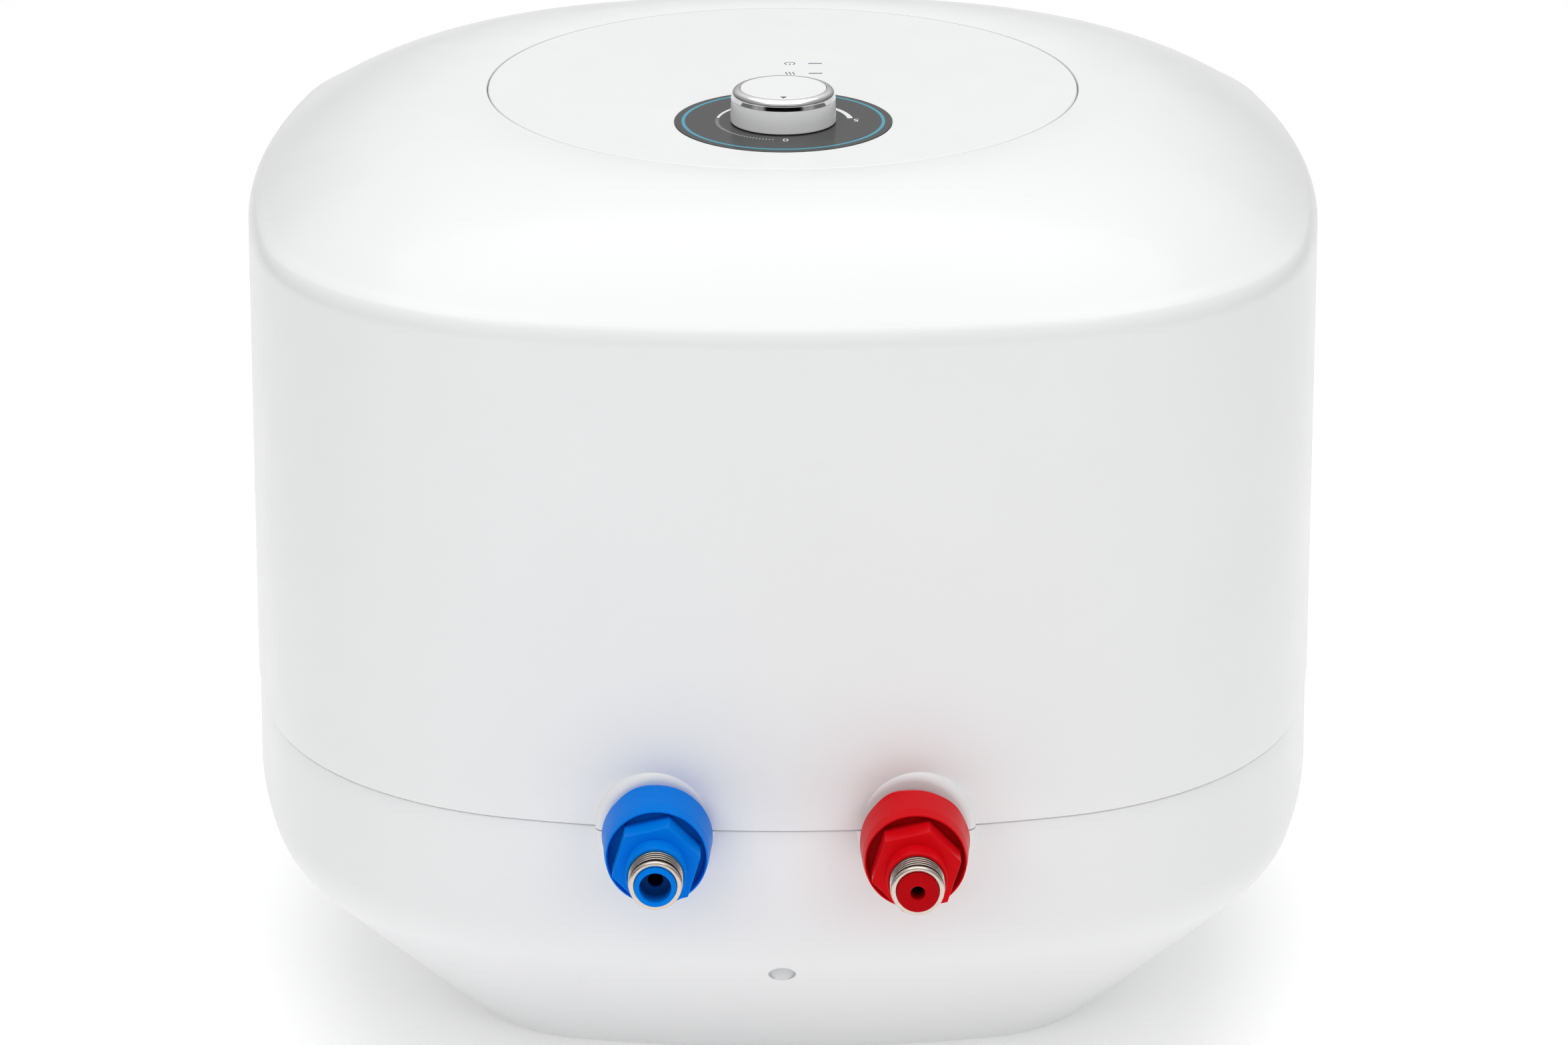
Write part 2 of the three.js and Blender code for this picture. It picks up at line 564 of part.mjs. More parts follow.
// ---------------------------------------------------------------- insulation
function fittingChannels() {
  return FITTINGS.map(({ side }) =>
    towardsFittings(rod(CHANNEL.radius, CHANNEL.start, 240, 16), side * FITTING_X));
}

// The space that the foam leaves round the tank.
function tankSpace() {
  const { radius, low, high, dome } = TANK;
  const quarter = steps(5).map((t) => Math.PI / 2 * t);
  const wide = radius + TANK_AIR;
  const tall = dome + TANK_AIR;
  const top = quarter.map((a) => [wide * Math.cos(a), high + tall * Math.sin(a)]);
  const foot = quarter.map((a) => [wide * Math.cos(a), low - tall * Math.sin(a)]);
  top[5][0] = 0;
  foot[5][0] = 0;
  return turned([...foot.reverse(), ...top], 28);
}

function insulationFront() {
  const outside = frontSurface(WALL + FOAM_AIR, 1, 1, 2).slice(1, -1);
  const start = SEAM_Z + 7.5;
  const top = FACE_Z - 9.5;
  const body = moulded([
    axisLevel(start),
    planLevel(inset(SEAM_PLAN, 6.5), start),
    ...outside,
    roundLevel(PANEL.seat, top),
    axisLevel(top),
  ]);
  return cut(body, [tankSpace(), rod(80, 300, 400, 28), ...fittingChannels()]);
}

function insulationRear() {
  const top = SEAM_Z - 12;
  const body = moulded([
    axisLevel(top),
    ...rearSurface(WALL + FOAM_AIR, top, 2, 1),
    axisLevel(WALL + FOAM_AIR),
  ]);
  const { y, pocketLength, pocketWidth, depth } = BRACKET;
  return cut(body, [
    tankSpace(),
    ...fittingChannels(),
    block(0, y, -5, depth + 3 * WALL, pocketLength + 4 * WALL, pocketWidth + 4 * WALL),
    acrossPort(rod(10, -22, 10, 16)),
    towardsFloor(rod(11, 205, 240, 16)),
  ]);
}

// ---------------------------------------------------------------- water fittings
// Every fitting is made along +Z, where z is its distance from the tank's axis.
function coupling({ out }) {
  const { length, cup, dish, neck, hexRadius, hexTurn, hexShort } = COUPLING;
  const back = COUPLING.back + out;
  const rim = COUPLING.back + cup + out * 0.8;
  const end = COUPLING.back + length + out;
  const bore = THREAD.radius + GAP;
  const stop = THREAD.inner + 0.2;
  const body = turned([
    [bore, back], [19.8, back], [21.1, back + 1.1], [21.5, back + 2.6], [20.7, rim - 4.5],
    [20.3, rim - 1], [19.9, rim], [19.1, rim], [18.3, rim - dish], [neck, rim - dish],
    [neck, end - 0.5], [neck - 0.5, end], [bore, end], [bore, rim + 1], [stop, rim + 1],
    [stop, rim - dish], [bore, rim - dish],
  ], 24);
  const hexagon = plate(polygon(hexRadius, 6, hexTurn), rim - dish - 1, end - hexShort);
  return unite([body, cut(hexagon, [rod(neck - 0.4, 0, 400, 24)])]);
}

function threadSleeve({ out }) {
  const { length, radius, root, pitch, turns, inner } = THREAD;
  const end = THREAD.end + out;
  const start = end - length;
  const plain = end - THREAD.plain;
  const firstRidge = plain - turns * pitch;
  const ridges = Array.from({ length: turns }, (_, i) => firstRidge + i * pitch)
    .flatMap((z) => [[root, z], [radius, z + pitch / 2]]);
  return turned([[inner, start], [root, start], ...ridges, [root, plain], [radius - 0.3, plain + 0.5],
    [radius - 0.9, end], [inner, end]], 20);
}

function core({ out, bore, boreDepth }) {
  const { length, radius, proud, throat } = CORE;
  const end = THREAD.end + proud + out;
  const start = end - length;
  return turned([[throat, start], [radius, start], [radius, end - 0.3], [radius - 0.3, end],
    [bore, end], [bore, end - boreDepth], [throat, end - boreDepth - 0.1]], 20);
}

const nipple = () => tube(NIPPLE.bore, NIPPLE.radius, NIPPLE.low, NIPPLE.high);
const grommet = () => tube(NIPPLE.radius + GAP, BOSS.hole - GAP, BOSS.back - 2, BOSS.face - 0.5);
const waterPipe = ({ pipeEnd }) => tube(PIPE.radius - PIPE.wall, PIPE.radius, pipeEnd, PIPE.start, 16);

// ---------------------------------------------------------------- wall bracket
function keyhole(side) {
  const { x, y, head, neck, run } = KEYHOLE;
  const slot = block(0, -run / 2, -5, 20, 2 * neck, run);
  const slotEnd = rod(neck, -5, 20, 16).translate([0, -run, 0]);
  return unite([rod(head, -5, 20, 20), slot, slotEnd]).translate([side * x, y, 0]);
}

// A steel strip bent like a hat: its raised web carries two keyholes, its feet take the screws.
function wallBracket() {
  const { y, width, length, thick, webZ, depth, foot } = BRACKET;
  const footZ = depth - GAP - thick;
  const webHalf = length / 2 - foot + 1;
  const web = block(0, y, webZ, webZ + thick, 2 * webHalf, width);
  const sides = [-1, 1].map((side) =>
    block(side * (webHalf - thick / 2), y, webZ, depth - GAP, thick, width));
  const feet = [-1, 1].map((side) =>
    block(side * (length - foot) / 2, y, footZ, depth - GAP, foot, width));
  const screwHoles = [-1, 1].map((side) =>
    rod(2.2, -5, 20, 16).translate([side * BRACKET_SCREW_X, y, 0]));
  return cut(unite([web, ...sides, ...feet]), [keyhole(-1), keyhole(1), ...screwHoles]);
}

function bracketScrew(side) {
  const headTop = BRACKET.depth - 2 * GAP - BRACKET.thick;
  return turned([[0, headTop - 2.6], [2.2, headTop - 2.6], [3.7, headTop - 1], [3.7, headTop],
    [1.4, headTop], [1.4, headTop + 8], [0, headTop + 9]], 16)
    .translate([side * BRACKET_SCREW_X, BRACKET.y, 0]);
}

// ---------------------------------------------------------------- assembly
const heater = new THREE.Group();
heater.name = "water_heater";

function add(group, name, body, material) {
  const mesh = new THREE.Mesh(geometryOf(body), material);
  mesh.name = name;
  group.add(mesh);
}

const at = (position, rotation = [0, 0, 0]) => {
  const group = new THREE.Group();
  group.position.set(...position);
  group.rotation.set(...rotation);
  heater.add(group);
  return group;
};

const casing = at([0, 0, 0]);
add(casing, "rear_shell", rearShell(), white());
add(casing, "front_shell", frontShell(), white());
add(casing, "foam_plug", foamPlug(), paint(0xdbdcde, 0.6));
add(casing, "cable_gland", cableGland(), paint(0x2b2c2e, 0.6));
add(casing, "front_panel", frontPanel(), white());

const dial = at([0, DIAL.y, 0]);
add(dial, "dial_plate", dialPlate(), paint(0x4b4c50, 0.35));
add(dial, "dial_ring", dialRing(), paint(0x4fa9c8, 0.35));
LIGHTS.forEach(({ name, y }) => {
  add(casing, `${name}_light_window`, lightWindow(y), paint(0x7d8ea6, 0.2));
});

const knob = at([0, DIAL.y, 0]);
add(knob, "knob_skirt", knobSkirt(), white());
add(knob, "knob_bezel", knobBezel(), paint(0xd6d8da, 0.08, 1));
add(knob, "knob_cap", knobCap(), white());
add(knob, "thermostat_spindle", spindle(), steel());

const controls = at([0, 0, 0]);
const boardTop = BOARD.low + BOARD.thick;
add(controls, "indicator_board",
  block(LIGHT.x, BOARD.y, BOARD.low, boardTop, BOARD.length, BOARD.width), paint(0x2e6b3c, 0.5));
LIGHTS.forEach(({ name, y }) => {
  const lamp = rod(LAMP_RADIUS, boardTop + GAP, FACE_Z - LIGHT.depth - GAP, 12).translate([LIGHT.x, y, 0]);
  add(controls, `${name}_lamp`, lamp, paint(name === "power" ? 0x46b25a : 0xd9862b, 0.3));
});
add(controls, "thermostat_bracket", thermostatBracket(), steel());
add(controls, "thermostat_body", thermostatBody(), paint(0xe4e0d4, 0.5));
add(controls, "thermostat_probe", thermostatProbe(), paint(0xb87848, 0.3, 1));
add(controls, "thermal_cutout", thermalCutout(), paint(0x2f3033, 0.5));
add(controls, "reset_button", resetButton(), paint(0xc2261d, 0.4));
add(controls, "terminal_block", terminalBlock(), paint(0xe9e6dc, 0.5));
add(controls, "live_lead", leads.live_lead(), paint(0x6b3f24, 0.5));
add(controls, "neutral_lead", leads.neutral_lead(), paint(0x2d59b5, 0.5));
add(controls, "earth_lead", leads.earth_lead(), paint(0x6da32f, 0.5));
add(controls, "earth_screw", earthScrew(), paint(0xc8a557, 0.3, 1));

const tank = at([0, 0, 0]);
add(tank, "tank_front", tankFront(), steel());
add(tank, "tank_rear", tankRear(), steel());
add(tank, "flange_plate", flangePlate(), steel());
add(tank, "flange_gasket", flangeGasket(), paint(0x232426, 0.8));
boltPlaces().forEach(([x, y], i) => {
  const bolt = hexBolt(5.6, 4, FLANGE.boltRadius, 15, FLANGE_TOP + GAP).translate([x, y, 0]);
  add(tank, `flange_bolt_${i + 1}`, bolt, steel());
});
add(tank, "heating_element", heatingElement(), paint(0xb98a63, 0.35, 1));
add(tank, "thermowell", thermowell(), steel());
add(tank, "anode_rod", anodeRod(), paint(0x9da0a2, 0.6, 1));
add(tank, "insulation_front", insulationFront(), paint(0xe9dfae, 0.9));
add(tank, "insulation_rear", insulationRear(), paint(0xe9dfae, 0.9));

FITTINGS.forEach((fitting) => {
  const { name, side } = fitting;
  const branch = at([side * FITTING_X, 0, SEAM_Z], [Math.PI / 2, 0, 0]);
  const plastic = () => paint(colours[name], 0.35);
  add(branch, `${name}_coupling`, coupling(fitting), plastic());
  add(branch, `${name}_thread`, threadSleeve(fitting), nickel());
  add(branch, `${name}_core`, core(fitting), plastic());
  add(branch, `${name}_nipple`, nipple(), steel());
  add(branch, `${name}_grommet`, grommet(), paint(0x232426, 0.8));
  add(branch, `${name}_pipe`, waterPipe(fitting), side < 0 ? paint(0xdfe2e4, 0.5) : steel());
});

const back = at([0, 0, 0]);
add(back, "wall_bracket", wallBracket(), paint(0xb4b8bb, 0.4, 1));
[-1, 1].forEach((side, i) => {
  add(back, `bracket_screw_${i + 1}`, bracketScrew(side), steel());
});

export default heater;
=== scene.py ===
"""Looks of a small under-sink water heater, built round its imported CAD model.

Lengths in the code are millimetres; mesh_object() turns them into metres. The frame is the CAD's: origin
at the centre of the back face, +Z out of the front face, -Y towards the water fittings, +X to the right.
"""

import json
import math

import bmesh
import bpy
from mathutils import Matrix, Vector
from mathutils.bvhtree import BVHTree
from mathutils.interpolate import poly_3d_calc


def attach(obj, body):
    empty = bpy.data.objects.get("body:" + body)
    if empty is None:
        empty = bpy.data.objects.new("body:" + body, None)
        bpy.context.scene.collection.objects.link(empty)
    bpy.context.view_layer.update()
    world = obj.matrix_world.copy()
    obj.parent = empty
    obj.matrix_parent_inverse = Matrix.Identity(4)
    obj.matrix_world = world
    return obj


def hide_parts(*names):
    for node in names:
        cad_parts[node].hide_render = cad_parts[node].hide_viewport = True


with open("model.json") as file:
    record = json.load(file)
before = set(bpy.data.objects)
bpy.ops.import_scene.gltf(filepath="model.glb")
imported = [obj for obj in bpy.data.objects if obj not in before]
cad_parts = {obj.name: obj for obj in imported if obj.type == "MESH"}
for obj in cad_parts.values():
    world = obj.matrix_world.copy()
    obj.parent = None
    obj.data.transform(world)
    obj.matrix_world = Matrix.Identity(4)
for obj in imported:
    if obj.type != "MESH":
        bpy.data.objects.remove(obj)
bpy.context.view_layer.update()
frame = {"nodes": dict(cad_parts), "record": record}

MM = 0.001
TURN = 2 * math.pi
QUARTER = math.pi / 2

# Casing: heights, and rounded-square outlines as half width, side radius and corner radius.
SEAM_Z, FOLD_Z, EDGE_Z, FACE_Z = 138, 82, 340, 377
WALL, GAP = 3, 0.3
EDGE_SOFTNESS = 0.4  # the shells' rims, at the parting line
SEAM_PLAN = (225.5, 455, 140.5)
EDGE_PLAN = (221.7, 550, 132.7)
REAR_RIM_PLAN = (224.8, 455, 140)
FOLD_PLAN = (225.7, 455, 132)
BACK_PLAN = (141, 455, 57.4)
EDGE_ROUNDING, FOLD_ROUNDING, BACK_ROUNDING = 10.5, 34, 8
DOME_FULLNESS = 1.15
PANEL_RADIUS, PANEL_SEAT, PANEL_OPENING, PANEL_THICK = 122.6, 123.2, 112, 3.1
LEAN = math.atan((FOLD_PLAN[0] - BACK_PLAN[0]) / FOLD_Z)
AROUND = 288  # points round the casing, closer together towards the corners
CORNER_SHARE = 0.07

DIAL_Y, DIAL_RADIUS, DIAL_TOP = -55.3, 44.2, 377.2
SPINDLE_HOLE = 4.5
SKIRT_LOW, SKIRT_TOP, KNOB_TOP = 377.5, 386.9, 391.25
LIGHT_X, LIGHT_YS = 13.9, {"power": 31.6, "heating": 16.2}
MARK_LOW, MARK_PROUD = 0.1, 0.05  # printed marks: how far they reach in and out of their surface
STROKE, FIGURE = 0.4, 3.6

FITTING_X = 50
BOSS_HOLE = 14
FITTINGS = {"inlet": (-1, 0, 6.1, 7.5), "outlet": (1, 5, 2.75, 1)}  # side, distance out, bore, its depth
LUGS = {"inlet": ((114, 28, 0.5), (180, 50, 0.35), (-3, 34, 0.15)),
        "outlet": ((116, 24, 0.8), (44, 22, 0.4), (180, 50, -0.45), (-5, 40, 0.35))}
COUPLING_BACK, COUPLING_LENGTH, CUP_LENGTH = 224.6, 41.2, 24.7
NECK, HEX_RADIUS, HEX_SHORT, HEX_TURN = 11.75, 17.65, 8.1, 13.5
THREAD_RADIUS, THREAD_ROOT, THREAD_PITCH, THREAD_INNER = 10.48, 9.32, 1.814, 8.14

# The foam filling port, the cable gland and the wall bracket's screws.
PORT_RADIUS, PORT_TILT, PORT_PLACE = 5.45, 10, (-1.3, -213.4, 70.2)
GLAND_Z = 110
SCREW_X, SCREW_Y, SCREW_TOP = 89, -88, 7.4


# ---------------------------------------------------------------- camera, light and floor
def add_camera():
    data = bpy.data.cameras.new("camera")
    data.lens = 110.2
    data.sensor_width = 36
    data.shift_x = 0.00085
    data.clip_end = 50
    camera = bpy.data.objects.new("camera", data)
    camera.location = (-0.0101, -1.9337, 0.924)
    camera.rotation_euler = (math.radians(68.983), 0, math.radians(-0.3))
    bpy.context.scene.collection.objects.link(camera)
    bpy.context.scene.camera = camera


def add_softbox(name, place, target, size, power, reflected=True):
    data = bpy.data.lights.new(name, "AREA")
    data.shape = "RECTANGLE"
    data.size, data.size_y = size
    data.energy = power
    lamp = bpy.data.objects.new(name, data)
    lamp.location = place
    lamp.rotation_euler = (Vector(target) - Vector(place)).to_track_quat("-Z", "Y").to_euler()
    lamp.visible_glossy = reflected
    bpy.context.scene.collection.objects.link(lamp)


def add_world(strength, horizon, sides, front):
    """A white studio, dimmer at the horizon and the sides. Low in front is a dark patch between two
    brighter ones, for polished pieces to reflect."""
    world = bpy.data.worlds.new("studio")
    world.use_nodes = True
    background = world.node_tree.nodes["Background"]
    towards = node(world, "ShaderNodeTexCoord").outputs["Generated"]
    parts = node(world, "ShaderNodeSeparateXYZ", {"Vector": towards}).outputs
    around = spread(world, parts["Z"], horizon, 1, 0.1, 0.6)
    aside = calculate(world, "ABSOLUTE", parts["X"])
    beside = spread(world, aside, 1, sides, 0.35, 0.8)
    facing = spread(world, parts["Y"], 1, 0.45, -0.45, -0.95)
    ahead = spread(world, parts["Y"], 0, 1, -0.68, -0.8)
    low = spread(world, parts["Z"], 0, 1, 0.15, 0.09)
    patch = calculate(world, "MULTIPLY", ahead, low)
    dimming = spread(world, patch, 1, front, 0, 1)
    flank = calculate(world, "MULTIPLY", spread(world, parts["Y"], 0, 1, -0.25, -0.45), low)
    glint = spread(world, calculate(world, "SUBTRACT", flank, patch), 1, 2.3, 0, 1)
    total = strength
    for part in (around, beside, facing, dimming, glint):
        total = calculate(world, "MULTIPLY", part, total)
    world.node_tree.links.new(total, background.inputs["Strength"])
    background.inputs["Color"].default_value = (1, 1, 1, 1)
    bpy.context.scene.world = world


# ---------------------------------------------------------------- materials
def new_material(name, color, roughness, metallic=0.0, **sockets):
    material = bpy.data.materials.new(name)
    material.use_nodes = True
    shader = material.node_tree.nodes["Principled BSDF"]
    shader.inputs["Base Color"].default_value = (*color, 1)
    shader.inputs["Roughness"].default_value = roughness
    shader.inputs["Metallic"].default_value = metallic
    for socket, value in sockets.items():
        shader.inputs[socket.replace("_", " ")].default_value = value
    return material


def node(material, kind, inputs=None, **settings):
    made = material.node_tree.nodes.new(kind)
    for key, value in settings.items():
        setattr(made, key, value)
    for socket, value in (inputs or {}).items():
        if isinstance(value, bpy.types.NodeSocket):
            material.node_tree.links.new(value, made.inputs[socket])
        else:
            made.inputs[socket].default_value = value
    return made


def calculate(material, operation, *values):
    return node(material, "ShaderNodeMath", dict(enumerate(values)), operation=operation).outputs[0]


def object_coordinates(material):
    return node(material, "ShaderNodeTexCoord").outputs["Object"]


def noise(material, size_mm, detail=2.0, stretch=(1, 1, 1)):
    """Noise whose features are about size_mm across."""
    scale = node(material, "ShaderNodeMapping", {"Vector": object_coordinates(material), "Scale": stretch})
    made = node(material, "ShaderNodeTexNoise",
                {"Vector": scale.outputs[0], "Scale": 1 / (size_mm * MM), "Detail": detail})
    return made.outputs["Fac"]


def spread(material, value, low, high, start=0.3, end=0.7):
    """A value that goes from low to high as another goes from start to end."""
    made = node(material, "ShaderNodeMapRange",
                {"Value": value, "From Min": start, "From Max": end, "To Min": low, "To Max": high})
    return made.outputs["Result"]


def link(material, output, socket):
    material.node_tree.links.new(output, material.node_tree.nodes["Principled BSDF"].inputs[socket])


def tint(material, factor, dark, light):
    """Base colour that runs from dark to light with a factor."""
    mix = node(material, "ShaderNodeMix", {"Factor": factor}, data_type="RGBA")
    mix.inputs["A"].default_value = (*dark, 1)
    mix.inputs["B"].default_value = (*light, 1)
    link(material, mix.outputs["Result"], "Base Color")


def bump(material, height, depth_mm, strength=1.0):
    made = node(material, "ShaderNodeBump", {"Height": height, "Distance": depth_mm * MM,
                                             "Strength": strength})
    link(material, made.outputs["Normal"], "Normal")


def shade(color, factor):
    return tuple(min(1, c * factor) for c in color)


def moulded_plastic(name, color, roughness, grain_mm=0.8, depth_mm=0.006, vary=0.02, **sockets):
    """Injection-moulded plastic: faint flow shading, uneven gloss and a fine skin."""
    material = new_material(name, color, roughness, **sockets)
    cloud = noise(material, 60, 3)
    tint(material, spread(material, cloud, 0, 1), shade(color, 1 - vary), shade(color, 1 + vary))
    patches = noise(material, 18, 4)
    link(material, spread(material, patches, roughness * 0.9, roughness * 1.12), "Roughness")
    bump(material, noise(material, grain_mm, 1), depth_mm)
    return material


def metal(name, color, roughness, stretch=(1, 1, 1), grain_mm=1.2, vary=0.08, depth_mm=0.004):
    """Bare or plated metal with drawn or turned marks."""
    material = new_material(name, color, roughness, 1.0)
    grain = noise(material, grain_mm, 4, stretch)
    tint(material, spread(material, grain, 0, 1), shade(color, 1 - vary), shade(color, 1 + vary))
    link(material, spread(material, grain, roughness * 0.75, roughness * 1.3), "Roughness")
    bump(material, grain, depth_mm)
    return material


def galvanised(name):
    material = new_material(name, (0.5, 0.51, 0.52), 0.4, 1.0)
    cells = node(material, "ShaderNodeTexVoronoi", {"Vector": object_coordinates(material), "Scale": 260})
    flakes = node(material, "ShaderNodeSeparateColor", {"Color": cells.outputs["Color"]}).outputs["Red"]
    tint(material, flakes, (0.4, 0.41, 0.43), (0.6, 0.61, 0.62))
    link(material, spread(material, flakes, 0.28, 0.5, 0, 1), "Roughness")
    bump(material, noise(material, 3, 3), 0.01)
    return material


def foam_material(name):
    material = new_material(name, (0.8, 0.7, 0.4), 0.9)
    cells = node(material, "ShaderNodeTexVoronoi", {"Vector": object_coordinates(material), "Scale": 700})
    tint(material, spread(material, noise(material, 25, 4), 0, 1), (0.72, 0.6, 0.32), (0.86, 0.77, 0.5))
    bump(material, cells.outputs["Distance"], 0.4, 0.6)
    return material


def board_material(name):
    """Green solder mask with the copper tracks showing through."""
    material = new_material(name, (0.03, 0.16, 0.06), 0.35)
    tracks = node(material, "ShaderNodeTexBrick",
                  {"Vector": object_coordinates(material), "Scale": 260.0, "Mortar Size": 0.06})
    tint(material, tracks.outputs["Fac"], (0.02, 0.13, 0.05), (0.06, 0.26, 0.1))
    bump(material, tracks.outputs["Fac"], 0.03)
    return material


def fitting_place(material):
    """Distance from the nearer fitting's axis, and the distance out along it."""
    place = node(material, "ShaderNodeSeparateXYZ", {"Vector": object_coordinates(material)}).outputs
    across = calculate(material, "SUBTRACT", calculate(material, "ABSOLUTE", place["X"]), FITTING_X * MM)
    above = calculate(material, "SUBTRACT", place["Z"], SEAM_Z * MM)
    spoke = node(material, "ShaderNodeCombineXYZ", {"X": across, "Y": above}).outputs[0]
    away = node(material, "ShaderNodeVectorMath", {0: spoke}, operation="LENGTH").outputs["Value"]
    further = spread(material, place["X"], 0, FITTINGS["outlet"][1] * MM, 0, 0.001)
    out = calculate(material, "MULTIPLY_ADD", place["Y"], -1, 0)
    return away, calculate(material, "SUBTRACT", out, further)


def thread_metal(name):
    """Plated brass thread: its own bright colour on the crests and the plain end, with painted brown shade
    down in the roots between the ridges.
    """
    material = new_material(name, (0.7, 0.6, 0.5), 0.3, 1.0)
    away, out = fitting_place(material)
    # Painted shade: below the crests the colour turns dark brown, standing in for the shadow in the thread's
    # grooves.
    crest = spread(material, away, 0, 1, 0.01014, 0.01034)
    plain = spread(material, out, 0, 1, 0.2729, 0.2732)
    tint(material, calculate(material, "MAXIMUM", crest, plain), (0.07, 0.05, 0.04), (0.66, 0.585, 0.51))
    link(material, spread(material, noise(material, 1.5, 3), 0.22, 0.36), "Roughness")
    return material


def fitting_plastic(name, color, deep, gloss):
    """Glossy coloured plastic that is darker down in the bore and the dish, where little light gets in."""
    material = new_material(name, color, 0.3, Specular_IOR_Level=gloss)
    away, out = fitting_place(material)
    bore = spread(material, away, 1, 0, 0.0064, 0.0067)
    bore_depth = spread(material, out, 1, 0, 0.2668, 0.2755)
    dish = spread(material, away, 0.38, 0, 0.0187, 0.019)
    dish_depth = spread(material, out, 1, 0, 0.2452, 0.2488)
    inside = [calculate(material, "MULTIPLY", *pair) for pair in ((bore, bore_depth), (dish, dish_depth))]
    tint(material, calculate(material, "MAXIMUM", *inside), color, deep)
    link(material, spread(material, noise(material, 18, 4), 0.26, 0.34), "Roughness")
    bump(material, noise(material, 1.2, 1), 0.008)
    return material


def make_materials():
    """The finish of every material slot, a lighter white that paints light onto the knob's skirt, and the red
    core's own.
    """
    return {
        "white_casing": moulded_plastic("white_plastic", (0.86, 0.865, 0.87), 0.32, vary=0.006,
                                        Coat_Weight=0.12, Coat_Roughness=0.12),
        # Painted light: a lighter copy of the casing white for the knob's skirt, brightening it where the
        # dark dial round it leaves it in shade.
        "knob_white_painted_light": moulded_plastic("knob_plastic_painted_light", (0.95, 0.95, 0.945), 0.3, vary=0.004,
                                      Coat_Weight=0.3, Coat_Roughness=0.1),
        "port_plug": moulded_plastic("grey_plastic", (0.71, 0.72, 0.73), 0.5),
        "black_rubber": moulded_plastic("rubber", (0.025, 0.025, 0.028), 0.62, 0.5, 0.03, 0.1),
        "dial_grey": moulded_plastic("dial_film", (0.036, 0.037, 0.038), 0.14, 0.6, 0.002, 0.03,
                                     Specular_IOR_Level=0.3),
        "cyan_ring": moulded_plastic("cyan_print", (0.035, 0.31, 0.43), 0.3),
        "indicator_lens": moulded_plastic("lens", (0.17, 0.17, 0.28), 0.15, Transmission_Weight=0.2),
        "circuit_board": board_material("circuit_board"),
        "green_lamp": moulded_plastic("green_lamp", (0.06, 0.45, 0.1), 0.1, Transmission_Weight=0.5),
        "amber_lamp": moulded_plastic("amber_lamp", (0.7, 0.24, 0.03), 0.1, Transmission_Weight=0.5),
        "cream_plastic": moulded_plastic("cream_plastic", (0.74, 0.7, 0.6), 0.45),
        "copper": metal("copper", (0.72, 0.33, 0.2), 0.3, (1, 1, 0.1)),
        "black_plastic": moulded_plastic("black_plastic", (0.03, 0.03, 0.033), 0.4, 0.4, 0.01, 0.1),
        "red_button": moulded_plastic("red_button", (0.55, 0.02, 0.02), 0.35),
        "brown_wire": moulded_plastic("brown_wire", (0.15, 0.06, 0.025), 0.4),
        "blue_wire": moulded_plastic("blue_wire", (0.03, 0.12, 0.45), 0.4),
        "green_wire": moulded_plastic("green_wire", (0.2, 0.4, 0.04), 0.4),
        "brass": metal("brass", (0.75, 0.55, 0.22), 0.28),
        "tank_enamel": moulded_plastic("tank_enamel", (0.12, 0.16, 0.2), 0.35, 3, 0.05, 0.12),
        "anode_metal": metal("anode_metal", (0.5, 0.5, 0.5), 0.6, (1, 1, 0.2), 2, 0.12, 0.03),
        "foam": foam_material("foam"),
        "blue_plastic": fitting_plastic("blue_plastic", (0.0, 0.2, 0.78), (0.0, 0.006, 0.05), 0.03),
        "red_plastic": fitting_plastic("red_plastic", (0.68, 0.003, 0.008), (0.05, 0.0, 0.001), 0.05),
        "red_core": fitting_plastic("red_core_plastic", (0.46, 0.0, 0.003), (0.03, 0.0, 0.001), 0.05),
        "nickel": thread_metal("nickel_plate"),
        "pipe_plastic": moulded_plastic("pipe_plastic", (0.7, 0.72, 0.74), 0.4),
        "chrome": metal("chrome", (0.86, 0.86, 0.87), 0.045, grain_mm=4, vary=0.01, depth_mm=0.0004),
        "zinc_plate": galvanised("zinc_plate"),
        "bright_steel": metal("bright_steel", (0.55, 0.55, 0.56), 0.3, (1, 1, 0.15)),
    }


# ---------------------------------------------------------------- meshes
def mesh_object(name, points, faces):
    mesh = bpy.data.meshes.new(name)
    mesh.from_pydata([(x * MM, y * MM, z * MM) for x, y, z in points], [], faces)
    made = bpy.data.objects.new(name, mesh)
    bpy.context.scene.collection.objects.link(made)
    face_outwards(made)
    return made


def face_outwards(made):
    work = bmesh.new()
    work.from_mesh(made.data)
    bmesh.ops.recalc_face_normals(work, faces=work.faces)
    if work.calc_volume(signed=True) < 0:
        bmesh.ops.reverse_faces(work, faces=work.faces)
    work.to_mesh(made.data)
    work.free()


def stack(name, rings, loop=False, place=None):
    """A closed skin over rings of points. A loop closes on itself; otherwise the two ends are capped."""
    count, size = len(rings), len(rings[0])
    faces = []
    for j in range(count if loop else count - 1):
        a, b = j * size, (j + 1) % count * size
        faces += [(a + i, a + (i + 1) % size, b + (i + 1) % size, b + i) for i in range(size)]
    if not loop:
        faces += [tuple(range(size)), tuple(range((count - 1) * size, count * size))]
    points = [Vector(p) for ring in rings for p in ring]
    if place:
        points = [place @ p for p in points]
    return mesh_object(name, points, faces)


def circle(radius, z, segments):
    return [(radius * math.cos(TURN * i / segments), radius * math.sin(TURN * i / segments), z)
            for i in range(segments)]


